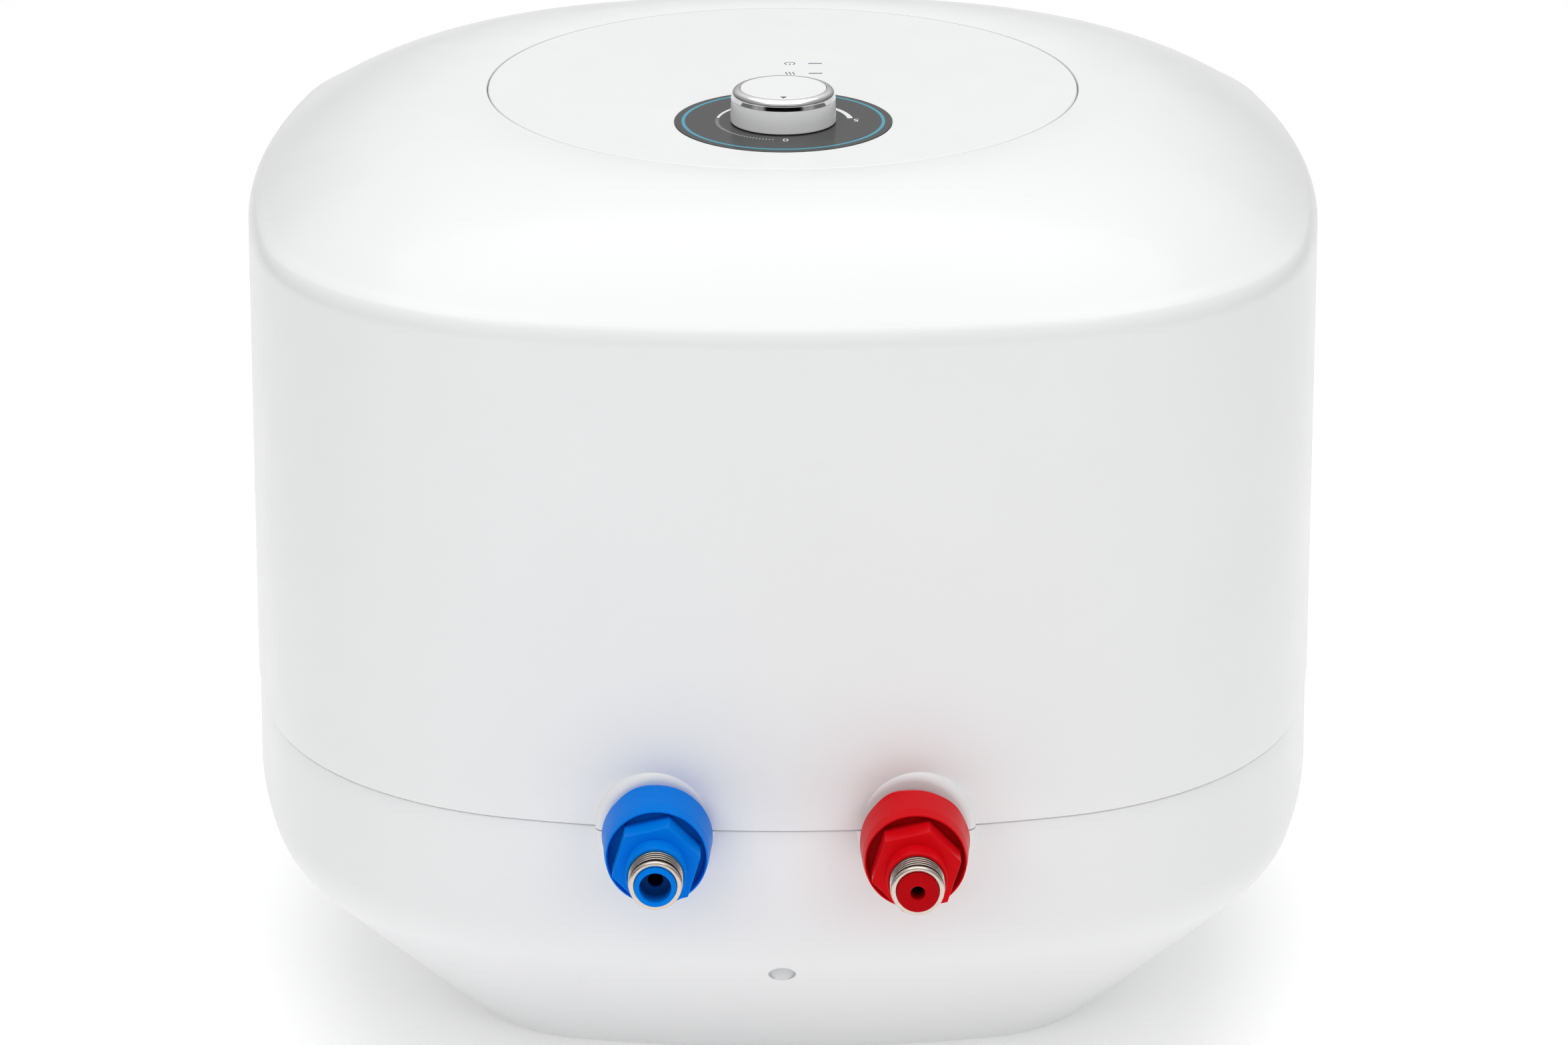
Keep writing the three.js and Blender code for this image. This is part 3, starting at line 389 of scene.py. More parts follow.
def softened(profile, loop, steps=5):
    """Rounds the corners of a profile. Each point is (r, z) or (r, z, rounding)."""
    count = len(profile)
    out = []
    for i, point in enumerate(profile):
        rounding = point[2] if len(point) > 2 else 0
        here = Vector(point[:2])
        before = Vector(profile[i - 1][:2]) - here
        after = Vector(profile[(i + 1) % count][:2]) - here
        angle = before.angle(after)
        straight = angle > 3.1
        if rounding == 0 or straight or (not loop and i in (0, count - 1)):
            out.append(tuple(here))
            continue
        back, on = before.normalized(), after.normalized()
        pull = min(rounding / math.tan(angle / 2), before.length * 0.49, after.length * 0.49)
        start, end = here + back * pull, here + on * pull
        centre = here + (back + on).normalized() * (pull / math.cos(angle / 2))
        radius = (start - centre).length
        sweep = (start - centre).angle(end - centre)
        for k in range(steps + 1):
            t = k / steps
            mixed = (start - centre) * math.sin((1 - t) * sweep) + (end - centre) * math.sin(t * sweep)
            out.append(tuple(centre + mixed.normalized() * radius))
    return out


def turned(name, profile, segments=96, place=None, steps=5):
    """A turned piece about Z. A profile that starts on the axis is open; any other closes on itself."""
    on_axis = profile[0][0] == 0
    points = softened(profile, not on_axis, steps)
    rings = [circle(r, z, segments) for r, z in points if r > 0]
    return stack(name, rings, not on_axis, place)


def towards_fittings(x):
    return Matrix.Translation((x, 0, SEAM_Z)) @ Matrix.Rotation(QUARTER, 4, "X")


def upright(x, y):
    return Matrix.Translation((x, y, 0))


def towards_floor():
    """The cable gland points down once the heater hangs on a wall."""
    return Matrix.Translation((0, 0, GLAND_Z)) @ Matrix.Rotation(-QUARTER, 4, "X")


def across_port():
    """The port is a little taller than it is wide."""
    tilted = Matrix.Rotation(QUARTER + math.radians(PORT_TILT), 4, "X")
    return Matrix.Translation(PORT_PLACE) @ tilted @ Matrix.Diagonal((1.02, 1.12, 1, 1))


def hole(name, radius, low, high, segments, place):
    """A plain rod to cut a round hole with."""
    return turned(name, [(0, low), (radius, low), (radius, high), (0, high)], segments, place)


def block(name, low, high):
    (x0, y0, z0), (x1, y1, z1) = low, high
    ring = [(x0, y0), (x1, y0), (x1, y1), (x0, y1)]
    return stack(name, [[(x, y, z) for x, y in ring] for z in (z0, z1)])


def bake(made):
    """Applies a piece's modifiers."""
    graph = bpy.context.evaluated_depsgraph_get()
    old = made.data
    made.data = bpy.data.meshes.new_from_object(made.evaluated_get(graph))
    made.data.name = made.name
    made.modifiers.clear()
    bpy.data.meshes.remove(old)


def combine(made, tool, operation):
    modifier = made.modifiers.new("combine", "BOOLEAN")
    modifier.operation = operation
    modifier.solver = "MANIFOLD"
    modifier.object = tool
    bake(made)
    bpy.data.objects.remove(tool)
    return made


def unite(made, *tools):
    for tool in tools:
        combine(made, tool, "UNION")
    return made


def cut(made, *tools):
    for tool in tools:
        combine(made, tool, "DIFFERENCE")
    return made


def bevel(made, width_mm, segments=3, angle=30):
    modifier = made.modifiers.new("bevel", "BEVEL")
    modifier.width = width_mm * MM
    modifier.segments = segments
    modifier.limit_method = "ANGLE"
    modifier.angle_limit = math.radians(angle)
    bake(made)
    return made


def dress(made, body, slot, replaced=(), sharp=35, weighted=True, finish=None):
    """Smooth shading, the material of the slot or finish, the body, and hiding of the CAD nodes that the
    piece stands for.
    """
    made.data.materials.clear()
    made.data.materials.append(MATERIALS[finish or slot])
    made.data.shade_smooth()
    made.data.set_sharp_from_angle(angle=math.radians(sharp))
    if weighted:
        modifier = made.modifiers.new("normals", "WEIGHTED_NORMAL")
        modifier.keep_sharp = True
        bake(made)
    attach(made, body)
    if replaced:
        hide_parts(*replaced)
    return made


def follow(made, rings, close=0.08 * MM):
    """Shades the outer skin as one smooth surface through its rings, whatever was cut or joined to it."""
    size = len(rings[0])
    guide = bpy.data.meshes.new("guide")
    faces = [(j * size + i, j * size + (i + 1) % size, (j + 1) * size + (i + 1) % size, (j + 1) * size + i)
             for j in range(len(rings) - 1) for i in range(size)]
    guide.from_pydata([Vector(p) * MM for ring in rings for p in ring], [], faces)
    corners = [v.co.copy() for v in guide.vertices]
    smooth = [v.normal.copy() for v in guide.vertices]
    tree = BVHTree.FromPolygons(corners, faces)
    mesh = made.data
    normals = [n.vector.copy() for n in mesh.corner_normals]
    for face in mesh.polygons:
        _, flat, _, gap = tree.find_nearest(face.center, MM)
        if flat is None or gap > close or abs(flat.dot(face.normal)) < 0.97:
            continue
        for corner in face.loop_indices:
            here, _, index, gap = tree.find_nearest(mesh.vertices[mesh.loops[corner].vertex_index].co)
            if gap > close:
                continue
            ring = faces[index]
            shares = poly_3d_calc([corners[i] for i in ring], here)
            normal = sum((smooth[i] * w for i, w in zip(ring, shares)), Vector())
            normals[corner] = normal.normalized() if normal.dot(face.normal) > 0 else -normal.normalized()
    mesh.normals_split_custom_set(normals)
    bpy.data.meshes.remove(guide)


# ---------------------------------------------------------------- casing outlines
def lerp(a, b, t):
    return a + (b - a) * t


def between(a, b, t):
    return tuple(lerp(p, q, t) for p, q in zip(a, b))


def inset(plan, by):
    return tuple(p - by for p in plan)


def reach(plan, angle):
    """Distance from the centre to a rounded square in the direction of an angle."""
    half, side, corner = plan
    turn = angle % QUARTER
    off = min(turn, QUARTER - turn)
    side_centre = side - half
    corner_centre = (math.sqrt(2 * (side - corner) ** 2 - side_centre ** 2) - side_centre) / 2
    join = math.atan2(corner_centre, corner_centre + side_centre)
    join_at = math.atan2(side * math.sin(join), side * math.cos(join) - side_centre)
    c, s = math.cos(off), math.sin(off)
    if off <= join_at:
        return math.sqrt(side ** 2 - (side_centre * s) ** 2) - side_centre * c
    return corner_centre * (c + s) + math.sqrt(corner ** 2 - (corner_centre * (c - s)) ** 2)


ANGLES = [TURN * i / AROUND + CORNER_SHARE * math.sin(4 * TURN * i / AROUND) for i in range(AROUND)]


def plan_ring(plan, z, pull=0.0):
    return [((reach(plan, a) - pull) * math.cos(a), (reach(plan, a) - pull) * math.sin(a), z) for a in ANGLES]


def round_ring(radius, z):
    return [(radius * math.cos(a), radius * math.sin(a), z) for a in ANGLES]


def fractions(count, first=0):
    return [i / count for i in range(first, count + 1)]


def front_surface(thickness, wall_steps, round_steps, dome_steps, rim_rounding=0.0):
    """Rings of the front shell from its rim to the panel seat, moved inwards by a thickness."""
    edge, rim = inset(EDGE_PLAN, thickness), inset(SEAM_PLAN, thickness)
    top, edge_z = FACE_Z - thickness, EDGE_Z - thickness
    run = edge[0] - PANEL_SEAT
    slope = math.atan((top - edge_z) * (1 + DOME_FULLNESS) / run)
    turn = QUARTER - slope
    radius = EDGE_ROUNDING - thickness / 2
    low = edge_z - radius * math.tan(turn / 2)
    start_z = SEAM_Z + GAP
    rings = []
    if rim_rounding:
        for t in fractions(4)[:-1]:
            rings.append(plan_ring(rim, start_z + rim_rounding * (1 - math.cos(t * QUARTER)),
                                   rim_rounding * (1 - math.sin(t * QUARTER))))
        start_z += rim_rounding
    rings += [plan_ring(between(rim, edge, t), lerp(start_z, low, t)) for t in fractions(wall_steps)]
    for t in fractions(round_steps, 1):
        rings.append(plan_ring(edge, low + radius * math.sin(turn * t), radius * (1 - math.cos(turn * t))))
    start = radius * (1 - math.cos(turn)) / run
    for t in fractions(dome_steps, 1):
        s = lerp(start, 1, t)
        z = lerp(edge_z, top, (1 + DOME_FULLNESS) * s - DOME_FULLNESS * s * s)
        spokes = [lerp(reach(edge, a), PANEL_SEAT, s) for a in ANGLES]
        rings.append([(r * math.cos(a), r * math.sin(a), z) for r, a in zip(spokes, ANGLES)])
    return rings


def rear_surface(thickness, rim_z, fold_steps, back_steps, rim_rounding=0.0):
    """Rings of the rear shell from its rim down to the back face, moved inwards by a thickness."""
    def ring(half, z):
        if z < FOLD_Z:
            corner = lerp(BACK_PLAN[2], FOLD_PLAN[2], z / FOLD_Z)
        else:
            corner = lerp(FOLD_PLAN[2], REAR_RIM_PLAN[2], (z - FOLD_Z) / (SEAM_Z - FOLD_Z))
        return plan_ring((half, FOLD_PLAN[1] - thickness, corner - thickness), z)

    def arc(radius, centre, start, end, count):
        r = radius - thickness
        turns = [lerp(start, end, t) for t in fractions(count)]
        return [ring(centre[0] + r * math.cos(a), centre[1] - r * math.sin(a)) for a in turns]

    fold_centre = (FOLD_PLAN[0] - FOLD_ROUNDING, FOLD_Z + FOLD_ROUNDING * math.tan(LEAN / 2))
    back_centre = (BACK_PLAN[0] - BACK_ROUNDING * (1 - math.sin(LEAN)) / math.cos(LEAN), BACK_ROUNDING)
    half = REAR_RIM_PLAN[0] - thickness
    rings = []
    if rim_rounding:
        for t in fractions(4)[:-1]:
            rings.append(ring(half - rim_rounding * (1 - math.sin(t * QUARTER)),
                              rim_z - rim_rounding * (1 - math.cos(t * QUARTER))))
    rim_z -= rim_rounding
    fold = arc(FOLD_ROUNDING, fold_centre, 0, LEAN, fold_steps)
    back = arc(BACK_ROUNDING, back_centre, LEAN, QUARTER, back_steps)
    fold_top = fold_centre[1]
    fold_half = fold_centre[0] + FOLD_ROUNDING - thickness
    wall = [ring(lerp(half, fold_half, t), lerp(rim_z, fold_top, t)) for t in fractions(4)[:-1]]
    flank = [[between(a, b, t) for a, b in zip(fold[-1], back[0])] for t in fractions(10)[1:-1]]
    return rings + wall + fold + flank + back


def boss(side, above):
    """Half of the round pad that carries a water fitting, on one side of the seam."""
    low, high = (SEAM_Z + GAP, SEAM_Z + 60) if above else (SEAM_Z - 60, SEAM_Z - GAP)
    profile = [(BOSS_HOLE, 215.5), (24.9, 215.5), (24.3, 224.3, 4), (BOSS_HOLE, 224.3)]
    pad = turned("pad", profile, 160, towards_fittings(side * FITTING_X), 12)
    keep = block("keep", (-300, -300, low), (300, 300, high))
    return combine(pad, keep, "INTERSECT")


def boss_hole(side):
    return hole("boss_hole", BOSS_HOLE, 190, 240, 128, towards_fittings(side * FITTING_X))


def front_shell():
    outside = front_surface(0, 28, 14, 44, EDGE_SOFTNESS)
    inside = front_surface(WALL, 10, 6, 16)[::-1]
    seat_z = FACE_Z - PANEL_THICK - GAP
    top = outside[-1][0][2]
    lip_rounding = 0.35
    lip = [round_ring(PANEL_SEAT + lip_rounding * (1 - math.sin(t * QUARTER)),
                      top - lip_rounding * (1 - math.cos(t * QUARTER))) for t in fractions(3)]
    seat = [round_ring(PANEL_SEAT, seat_z), round_ring(PANEL_OPENING, seat_z),
            round_ring(PANEL_OPENING, seat_z - WALL), round_ring(PANEL_SEAT + 2, seat_z - WALL - 1)]
    shell = stack("front_shell_skin", outside[:-1] + lip + seat + inside[1:], True)
    unite(shell, boss(-1, True), boss(1, True))
    cut(shell, boss_hole(-1), boss_hole(1))
    dress(shell, "casing", "white_casing", ["front_shell"], 30, False)
    follow(shell, outside)


def rear_shell():
    rim_z = SEAM_Z - GAP
    outside = rear_surface(0, rim_z, 18, 8, EDGE_SOFTNESS)
    inside = rear_surface(WALL, rim_z - 8, 8, 4)[::-1]
    tongue_out, tongue_in = inset(SEAM_PLAN, WALL + GAP), inset(SEAM_PLAN, WALL + GAP + 2)
    tongue_top = SEAM_Z + 6
    tongue = [plan_ring(tongue_in, rim_z), plan_ring(tongue_in, tongue_top),
              plan_ring(tongue_out, tongue_top), plan_ring(tongue_out, rim_z)]
    shell = stack("rear_shell_skin", inside + tongue + outside)
    for side in (-1, 1):
        x = side * FITTING_X
        cut(shell, block("gap", (x - 25.6, -230.5, rim_z), (x + 25.6, -200.5, SEAM_Z + 10)))
    unite(shell, boss(-1, False), boss(1, False), block("pocket_wall", (-106, -116, 0.5), (106, -60, 13)))
    pocket = bevel(block("pocket", (-103, -113, -5), (103, -63, 10)), 1.2)
    port = hole("port", PORT_RADIUS, -20, 12, 96, across_port())
    gland = hole("gland_hole", 8, 200, 240, 64, towards_floor())
    cut(shell, pocket, boss_hole(-1), boss_hole(1), port, gland)
    for side in (-1, 1):
        cut(shell, hole("screw_hole", 1.7, 9, 14, 32, upright(side * SCREW_X, SCREW_Y)))
    dress(shell, "casing", "white_casing", ["rear_shell"], 30, False)
    follow(shell, outside)


# ---------------------------------------------------------------- front panel and dial
def front_panel():
    bottom = FACE_Z - PANEL_THICK
    disc = turned("panel_disc", [(0, bottom), (PANEL_RADIUS, bottom, 0.4), (PANEL_RADIUS, FACE_Z, 0.7),
                                 (0, FACE_Z)], AROUND)
    place = upright(0, DIAL_Y)
    cut(disc, hole("dial_seat", DIAL_RADIUS + GAP, FACE_Z - 0.8, FACE_Z + 5, 160, place))
    cut(disc, hole("spindle_hole", SPINDLE_HOLE, 370, 380, 64, place))
    for y in LIGHT_YS.values():
        cut(disc, block("slot", (LIGHT_X - 2.9, y - 0.65, 370), (LIGHT_X + 2.9, y + 0.65, 380)))
    dress(disc, "casing", "white_casing", ["front_panel"])


def dial():
    low = FACE_Z - 0.5
    plate = turned("dial_face", [(SPINDLE_HOLE, low), (DIAL_RADIUS, low, 0.1), (DIAL_RADIUS, DIAL_TOP, 0.3),
                                 (SPINDLE_HOLE, DIAL_TOP)], 192, upright(0, DIAL_Y))
    dress(plate, "casing", "dial_grey", ["dial_plate"])
    inner, outer, under, top = 40.0, 41.4, DIAL_TOP - MARK_LOW, DIAL_TOP + 0.06
    profile = [(inner, under), (outer, under), (outer, top, 0.03), (inner, top, 0.03)]
    band = turned("dial_band", profile, 192, upright(0, DIAL_Y), 2)
    dress(band, "casing", "cyan_ring", ["dial_ring"])


def dial_point(radius, angle, z):
    return (radius * math.cos(angle), DIAL_Y + radius * math.sin(angle), z)


def sector(inner, outer, start, end, steps, z0, z1):
    """Rings of a ring sector. Inner and outer radius are (at start, at end); angles are in degrees."""
    rings = []
    for t in fractions(steps):
        a = math.radians(lerp(start, end, t))
        r0, r1 = lerp(*inner, t), lerp(*outer, t)
        rings.append([dial_point(r0, a, z0), dial_point(r1, a, z0), dial_point(r1, a, z1),
                      dial_point(r0, a, z1)])
    return rings


def join(name, parts):
    """Several closed pieces as one object."""
    work = bmesh.new()
    for part in parts:
        work.from_mesh(part.data)
        bpy.data.objects.remove(part)
    mesh = bpy.data.meshes.new(name)
    work.to_mesh(mesh)
    work.free()
    made = bpy.data.objects.new(name, mesh)
    bpy.context.scene.collection.objects.link(made)
    return made


def digit(name, body, x, y, height):
    """A figure that reads upright from the far side of the dial, as the heater hangs."""
    curve = bpy.data.curves.new(name, "FONT")
    curve.body = body
    curve.align_x, curve.align_y = "CENTER", "CENTER"
    curve.size = height * MM / 0.7
    curve.extrude = 0.05 * MM
    curve.resolution_u = 6
    text = bpy.data.objects.new(name, curve)
    bpy.context.scene.collection.objects.link(text)
    place = Matrix.Translation((x * MM, y * MM, DIAL_TOP * MM))
    text.matrix_world = place @ Matrix.Rotation(math.pi, 4, "Z")
    bpy.context.view_layer.update()
    mesh = bpy.data.meshes.new_from_object(text.evaluated_get(bpy.context.evaluated_depsgraph_get()))
    mesh.transform(text.matrix_world)
    bpy.data.objects.remove(text)
    made = bpy.data.objects.new(name, mesh)
    bpy.context.scene.collection.objects.link(made)
    return made


def dial_marks():
    """The scale's arc, its ticks, and a figure at each end."""
    z0, z1 = DIAL_TOP - MARK_LOW, DIAL_TOP + MARK_PROUD
    arc = stack("dial_scale_arc", sector((26.4, 26.3), (27.5, 28.5), 171, 7, 96, z0, z1))
    dress(arc, "casing", "white_casing", weighted=False)
    ticks, count, long, half_wide = [], 31, 1.4, 0.25
    for i in range(count):
        t = i / count
        angle = lerp(-99, -188, t)
        outer = lerp(28.3, 27.6, t)
        tick = sector((outer - long,) * 2, (outer,) * 2, angle - half_wide, angle + half_wide, 1, z0, z1)
        ticks.append(stack("tick", tick))
    dress(join("dial_scale_ticks", ticks), "casing", "port_plug", weighted=False)
    for end, figure, x, y in (("low", "0", 0.8, -82.9), ("high", "5", 29.6, -54.7)):
        dress(digit(f"dial_figure_{end}", figure, x, y, FIGURE), "casing", "white_casing", weighted=False)


def ribbon(points, width, z0, z1):
    """Rings of a flat stroke along a line of (x, y) points."""
    rings = []
    for i, (x, y) in enumerate(points):
        before, after = Vector(points[max(i - 1, 0)]), Vector(points[min(i + 1, len(points) - 1)])
        along = (after - before).normalized()
        across = Vector((-along.y, along.x)) * width / 2
        rings.append([(x - across.x, y - across.y, z0), (x + across.x, y + across.y, z0),
                      (x + across.x, y + across.y, z1), (x - across.x, y - across.y, z1)])
    return rings


def light_marks():
    """A switch symbol and a heat symbol beside the two lights, printed on the panel."""
    z0, z1 = FACE_Z - MARK_LOW, FACE_Z + MARK_PROUD
    x, y = 3.2, LIGHT_YS["power"]
    bow = [(x + 2.1 * math.sin(math.radians(a)), y + 2.1 * math.cos(math.radians(a)))
           for a in range(-145, 146, 10)]
    parts = [stack("bow", ribbon(bow, STROKE, z0, z1)),
             stack("bar", ribbon([(x, y - 0.2), (x, y - 2.4)], STROKE, z0, z1))]
    dress(join("power_mark", parts), "casing", "dial_grey", weighted=False)
    y = LIGHT_YS["heating"]
    parts = []
    for shift in (-1.5, 0, 1.5):
        wave = [(x + shift + 0.35 * math.sin(t * TURN), y + 4 * (t - 0.5)) for t in fractions(16)]
        parts.append(stack("wave", ribbon(wave, STROKE, z0, z1)))
    dress(join("heating_mark", parts), "casing", "dial_grey", weighted=False)


def light_windows():
    for name, y in LIGHT_YS.items():
        low, high = (LIGHT_X - 2.75, y - 0.5, FACE_Z - 7), (LIGHT_X + 2.75, y + 0.5, FACE_Z + 0.1)
        lens = bevel(block(f"{name}_lens", low, high), 0.15)
        dress(lens, "casing", "indicator_lens", [f"{name}_light_window"])


# ---------------------------------------------------------------- knob
def knob():
    place = upright(0, DIAL_Y)
    under = SKIRT_TOP - 2.2
    hub_end, hub_bore = 379.2, 3.3
    skirt = turned("knob_skirt_body", [
        (0, SKIRT_TOP), (21.2, SKIRT_TOP, 0.15), (21.5, SKIRT_LOW, 0.35), (19.3, SKIRT_LOW, 0.3),
        (19.0, under, 0.8), (7, under, 0.4), (6, hub_end, 0.2), (hub_bore, hub_end), (hub_bore, under),
        (0, under)], 192, place)
    # The skirt's lighter white is painted light, making up for the shade from the dark dial round it.
    dress(skirt, "knob", "white_casing", ["knob_skirt"], finish="knob_white_painted_light")
    low = SKIRT_TOP + 0.08
    crown = [(17.65 + 3.3 * math.cos(t * QUARTER) ** 0.9, low + 1.6 + 2.6 * math.sin(t * QUARTER))
             for t in fractions(24)]
    bezel = turned("knob_bezel_ring", [(17.6, low), (21.25, low, 0.08)] + crown + [(17.6, KNOB_TOP - 0.2)],
                   192, place)
    dress(bezel, "knob", "chrome", ["knob_bezel"], 50)
    cap = turned("knob_cap_disc", [(0, low + 0.2), (17.45, low + 0.2, 0.2), (17.45, KNOB_TOP - 0.05, 0.3),
                                   (15, KNOB_TOP, 1.5), (0, KNOB_TOP)], 192, place)
    dress(cap, "knob", "white_casing", ["knob_cap"])
    base, apex, half = DIAL_Y - 13.8, DIAL_Y - 16.4, 1.4
    corners = [(-half, base), (0, apex), (half, base)]
    levels = (KNOB_TOP - 0.4, KNOB_TOP + 0.04)
    pointer = stack("knob_pointer", [[(x, y, z) for x, y in corners] for z in levels])
    dress(pointer, "knob", "dial_grey")


# ---------------------------------------------------------------- water fittings
def rounded_polygon(radius, sides, turn, rounding, pull, z, steps=6):
    """A ring of points round a polygon with rounded corners, pulled inwards by some distance."""
    half = math.pi / sides
    rounding = max(rounding - pull, 0.05)
    centre = radius - pull / math.cos(half) - rounding / math.cos(half)
    points = []
    for i in range(sides):
        corner = turn + TURN * i / sides
        for k in range(steps + 1):
            a = corner - half + 2 * half * k / steps
            points.append((centre * math.cos(corner) + rounding * math.cos(a),
                           centre * math.sin(corner) + rounding * math.sin(a), z))
    return points


def swell(made, back, lugs):
    """Low swellings of the cup's flange. Each is an angle, its reach either side, and its height."""
    top = back + 8
    for vertex in made.data.vertices:
        x, y, z = vertex.co / MM
        radius, angle = math.hypot(x, y), math.degrees(math.atan2(y, x)) % 360
        if radius < 19 or z > top:
            continue
        fade = min(1, (top - z) / 4)
        proud = 0
        for centre, reach_by, height in lugs:
            off = abs((angle - centre + 180) % 360 - 180)
            proud += height * math.cos(QUARTER * min(1, off / reach_by)) ** 2
        grown = 1 + proud * fade / radius
        vertex.co.x *= grown
        vertex.co.y *= grown


def coupling(name, out):
    """A cup with a dished end, and a neck with a hexagon that stands in the dish."""
    back = COUPLING_BACK + out
    rim = COUPLING_BACK + CUP_LENGTH + out * 0.8
    end = back + COUPLING_LENGTH
    hex_end = end - HEX_SHORT
    bore, stop, dish = 10.53, 8.6, rim - 4
    cup = turned("cup", [
        (bore, back), (19.4, back, 0.3), (20.5, back + 1.4, 1), (21.5, back + 4.4, 1.2), (21.3, back + 7, 2),
        (20.5, rim - 5, 4), (19.75, rim, 0.45), (19.15, rim, 0.45), (18.6, dish, 1),
        (NECK, dish, 0.6), (NECK, end, 0.6), (bore, end, 0.15), (bore, rim + 1),
        (stop, rim + 1), (stop, dish), (bore, dish)], 160)
    rounding = 0.5
    levels = [(dish - 1, 0), (hex_end - rounding, 0)] + [
        (hex_end - rounding * (1 - math.sin(t * QUARTER)), rounding * (1 - math.cos(t * QUARTER)))
        for t in fractions(4, 1)]
    hexagon = stack("hexagon", [rounded_polygon(HEX_RADIUS, 6, math.radians(HEX_TURN), 0.8, pull, z)
                                for z, pull in levels])
    cut(hexagon, hole("neck_hole", NECK - 0.3, 200, 300, 96, None))
    unite(cup, hexagon)
    swell(cup, back, LUGS[name])
    cup.name = f"{name}_coupling_body"
    cup.data.name = cup.name
    return cup


def thread(name, out):
    """A threaded sleeve: one helical ridge that fades out at both ends, then a plain chamfered end."""
    radius, root, pitch, inner = THREAD_RADIUS, THREAD_ROOT, THREAD_PITCH, THREAD_INNER
    start, end = COUPLING_BACK + 26.3 + out, COUPLING_BACK + 50.4 + out
    last = end - 1.8
    segments, per_turn = 120, 18
    count = round((last - start) / pitch * per_turn)
    rings = []
    for k in range(count + 1):
        z = lerp(start, last, k / count)
        fade = min(1, (z - start) / pitch, (last - z) / (0.35 * pitch))
        ring = []
        for i in range(segments):
            a = TURN * i / segments
            phase = (z / pitch - i / segments) % 1
            ridge = min(1, max(0, (1 - abs(2 * phase - 1)) * 1.5 - 0.25))
            r = root + (radius - root) * fade * ridge * ridge * (3 - 2 * ridge)
            ring.append((r * math.cos(a), r * math.sin(a), z))
        rings.append(ring)
    for r, z in ((root + 0.1, last + 0.15), (radius - 0.35, last + 0.4), (radius - 0.3, end - 0.9),
                 (radius - 0.55, end - 0.3), (radius - 0.85, end - 0.06), (radius - 1.05, end),
                 (inner + 0.3, end), (inner + 0.08, end - 0.08), (inner, end - 0.3), (inner, start)):
        rings.append(circle(r, z, segments))
    return stack(f"{name}_thread_sleeve", rings, True)


def core(name, out, bore, depth):
    """The plastic sleeve inside the thread, with a mouth that narrows to a throat."""
    start, end = COUPLING_BACK + 27 + out, COUPLING_BACK + 51.8 + out
    radius, throat, bottom = 8.1, min(bore, 3), end - depth
    profile = [(throat, start), (radius, start), (radius, end, 0.4), (bore, end, 0.35), (bore, bottom, 0.3),
               (throat, bottom - 0.1)]
    return turned(f"{name}_core_body", profile, 96)


def fittings():
    for name, (side, out, bore, depth) in FITTINGS.items():
        plastic, core_finish = ("blue_plastic", None) if side < 0 else ("red_plastic", "red_core")
        place = towards_fittings(side * FITTING_X)
        for made, slot, cad, sharp, weighted, finish in (
                (coupling(name, out), plastic, f"{name}_coupling", 35, True, None),
                (thread(name, out), "nickel", f"{name}_thread", 60, False, None),
                (core(name, out, bore, depth), plastic, f"{name}_core", 35, False, core_finish)):
            made.data.transform(Matrix.Scale(MM, 4) @ place @ Matrix.Scale(1 / MM, 4))
            dress(made, "casing", slot, [cad], sharp, weighted, finish)


# ---------------------------------------------------------------- small pieces of the casing and the back
def foam_plug():
    flange, body, back, shoulder, face = 7.6, PORT_RADIUS - 0.03, -11.5, -10, -3.9
    plug = turned("port_plug_body", [(0, back), (flange, back, 0.3), (flange, shoulder, 0.3),
                                     (body, shoulder, 0.1), (body, face, 0.15), (0, face)], 96, across_port())
    dress(plug, "casing", "port_plug", ["foam_plug"])


def cable_gland():
    gland = turned("gland_body", [
        (3.9, 216.7, 0.4), (7.2, 216.7, 0.6), (7.7, 221, 0.5), (7.7, 226.1, 0.2), (12, 226.1, 0.4),
        (11.7, 228.6, 0.8), (9.6, 229.7, 0.5), (8.2, 229.7, 0.3), (7.6, 229.2, 0.3), (6.4, 229.2, 0.3),
        (5.9, 229.7, 0.3), (4.6, 229.7, 0.4), (3.9, 228.9, 0.4)], 96, towards_floor())
    dress(gland, "casing", "black_rubber", ["cable_gland"])


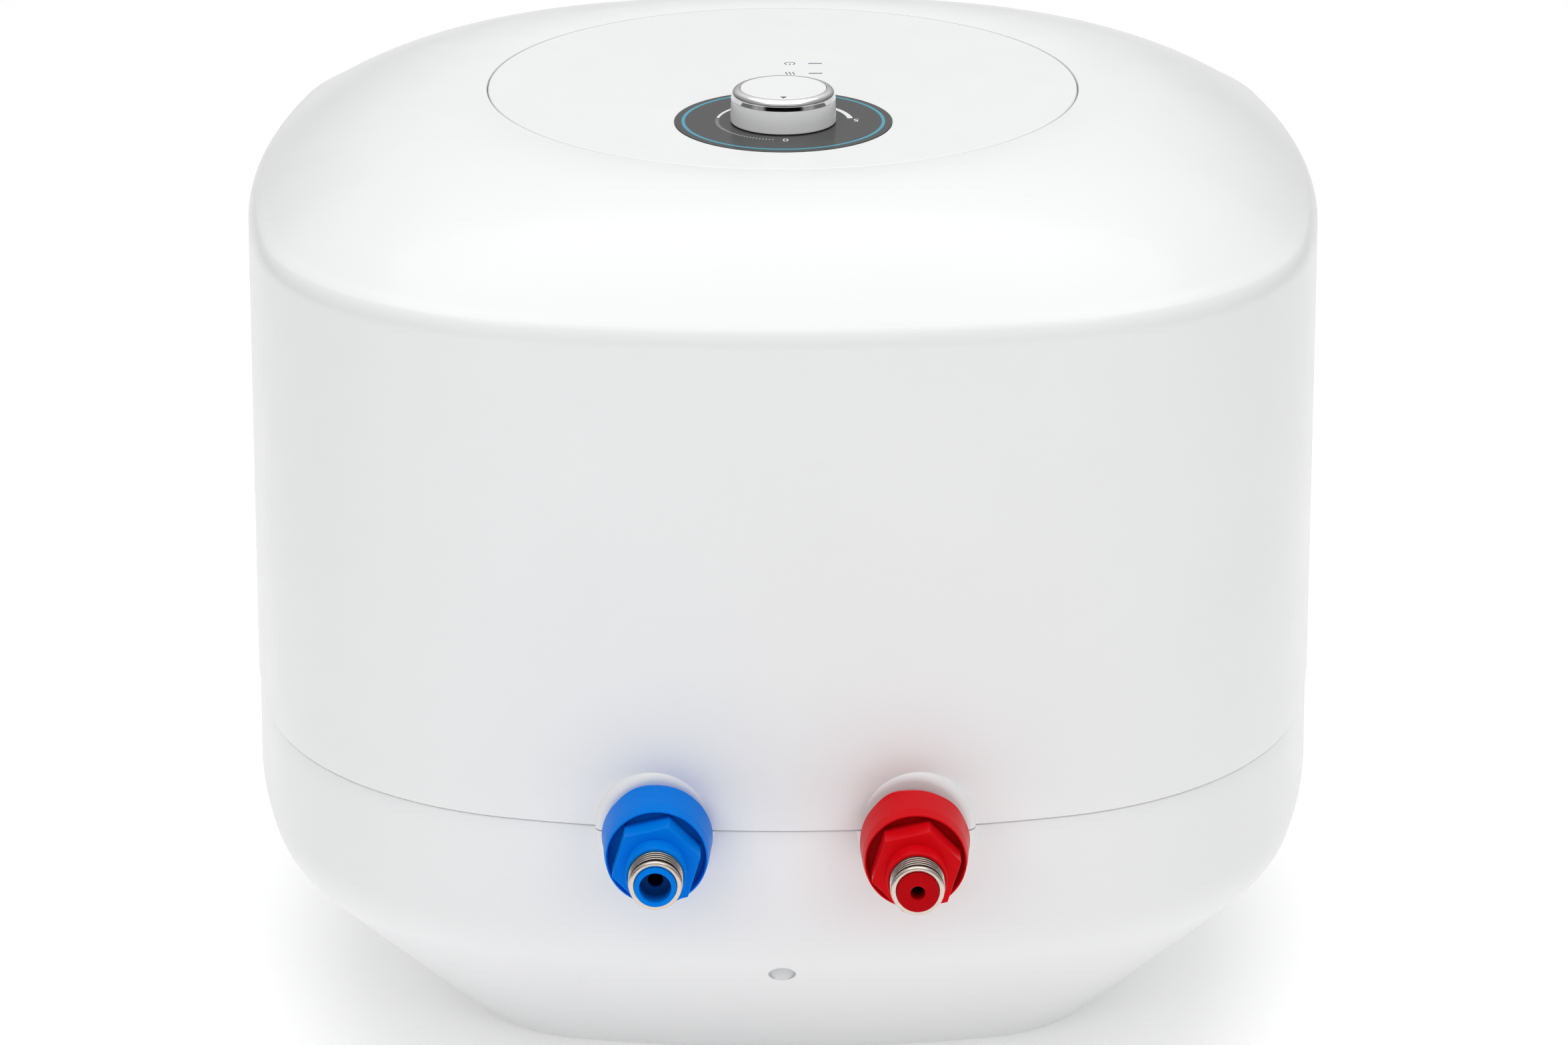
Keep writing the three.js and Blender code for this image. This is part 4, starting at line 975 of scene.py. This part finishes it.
def refined(name, cad, width_mm):
    """A copy of a CAD node with its flat faces whole and its edges softened."""
    made = bpy.data.objects.new(name, frame["nodes"][cad].data.copy())
    bpy.context.scene.collection.objects.link(made)
    work = bmesh.new()
    work.from_mesh(made.data)
    bmesh.ops.remove_doubles(work, verts=work.verts, dist=0.01 * MM)
    bmesh.ops.dissolve_limit(work, angle_limit=math.radians(1), verts=work.verts, edges=work.edges)
    work.to_mesh(made.data)
    work.free()
    return bevel(made, width_mm, 3, 40)


def wall_bracket():
    dress(refined("wall_bracket_strip", "wall_bracket", 0.35), "casing", "zinc_plate", ["wall_bracket"])
    top = SCREW_TOP
    for i, side in ((1, -1), (2, 1)):
        x, y = side * SCREW_X, SCREW_Y
        screw = turned(f"bracket_screw_{i}_body", [
            (0, top - 2.6), (2.2, top - 2.6, 0.5), (3.7, top - 1, 0.3), (3.7, top, 0.15),
            (1.4, top), (1.4, top + 8, 0.2), (0, top + 9)], 48, upright(x, y))
        for along, across in ((1.6, 0.35), (0.35, 1.6)):
            cut(screw, block("cross", (x - along, y - across, top - 4), (x + along, y + across, top - 1.4)))
        dress(screw, "casing", "bright_steel", [f"bracket_screw_{i}"])


add_camera()
add_world(0.87, 0.42, 0.42, 0.02)
add_softbox("top_light", (0, 0.1, 2.4), (0, 0, 0.3), (2.6, 2.6), 28)
for side in (-1, 1):
    add_softbox("side_light", (side * 1.2, -2.1, 1.0), (side * 0.16, -0.1, 0.2), (0.9, 0.9), 6, False)
MATERIALS = make_materials()

for name, cad in frame["nodes"].items():
    slot = next(s["material_slot"] for s in frame["record"]["subparts"] if s["node"] == name)
    cad.data.materials.clear()
    cad.data.materials.append(MATERIALS[slot])

front_shell()
rear_shell()
front_panel()
dial()
dial_marks()
light_marks()
light_windows()
knob()
fittings()
foam_plug()
cable_gland()
wall_bracket()

FLOOR_REACH = 6000
floor = block("floor", (-FLOOR_REACH, -FLOOR_REACH, -20), (FLOOR_REACH, FLOOR_REACH, -0.2))
floor.data.materials.append(new_material("floor", (0.93, 0.93, 0.93), 0.7, Emission_Color=(1, 1, 1, 1),
                                         Emission_Strength=0.2))

bpy.context.scene.view_settings.view_transform = "Standard"
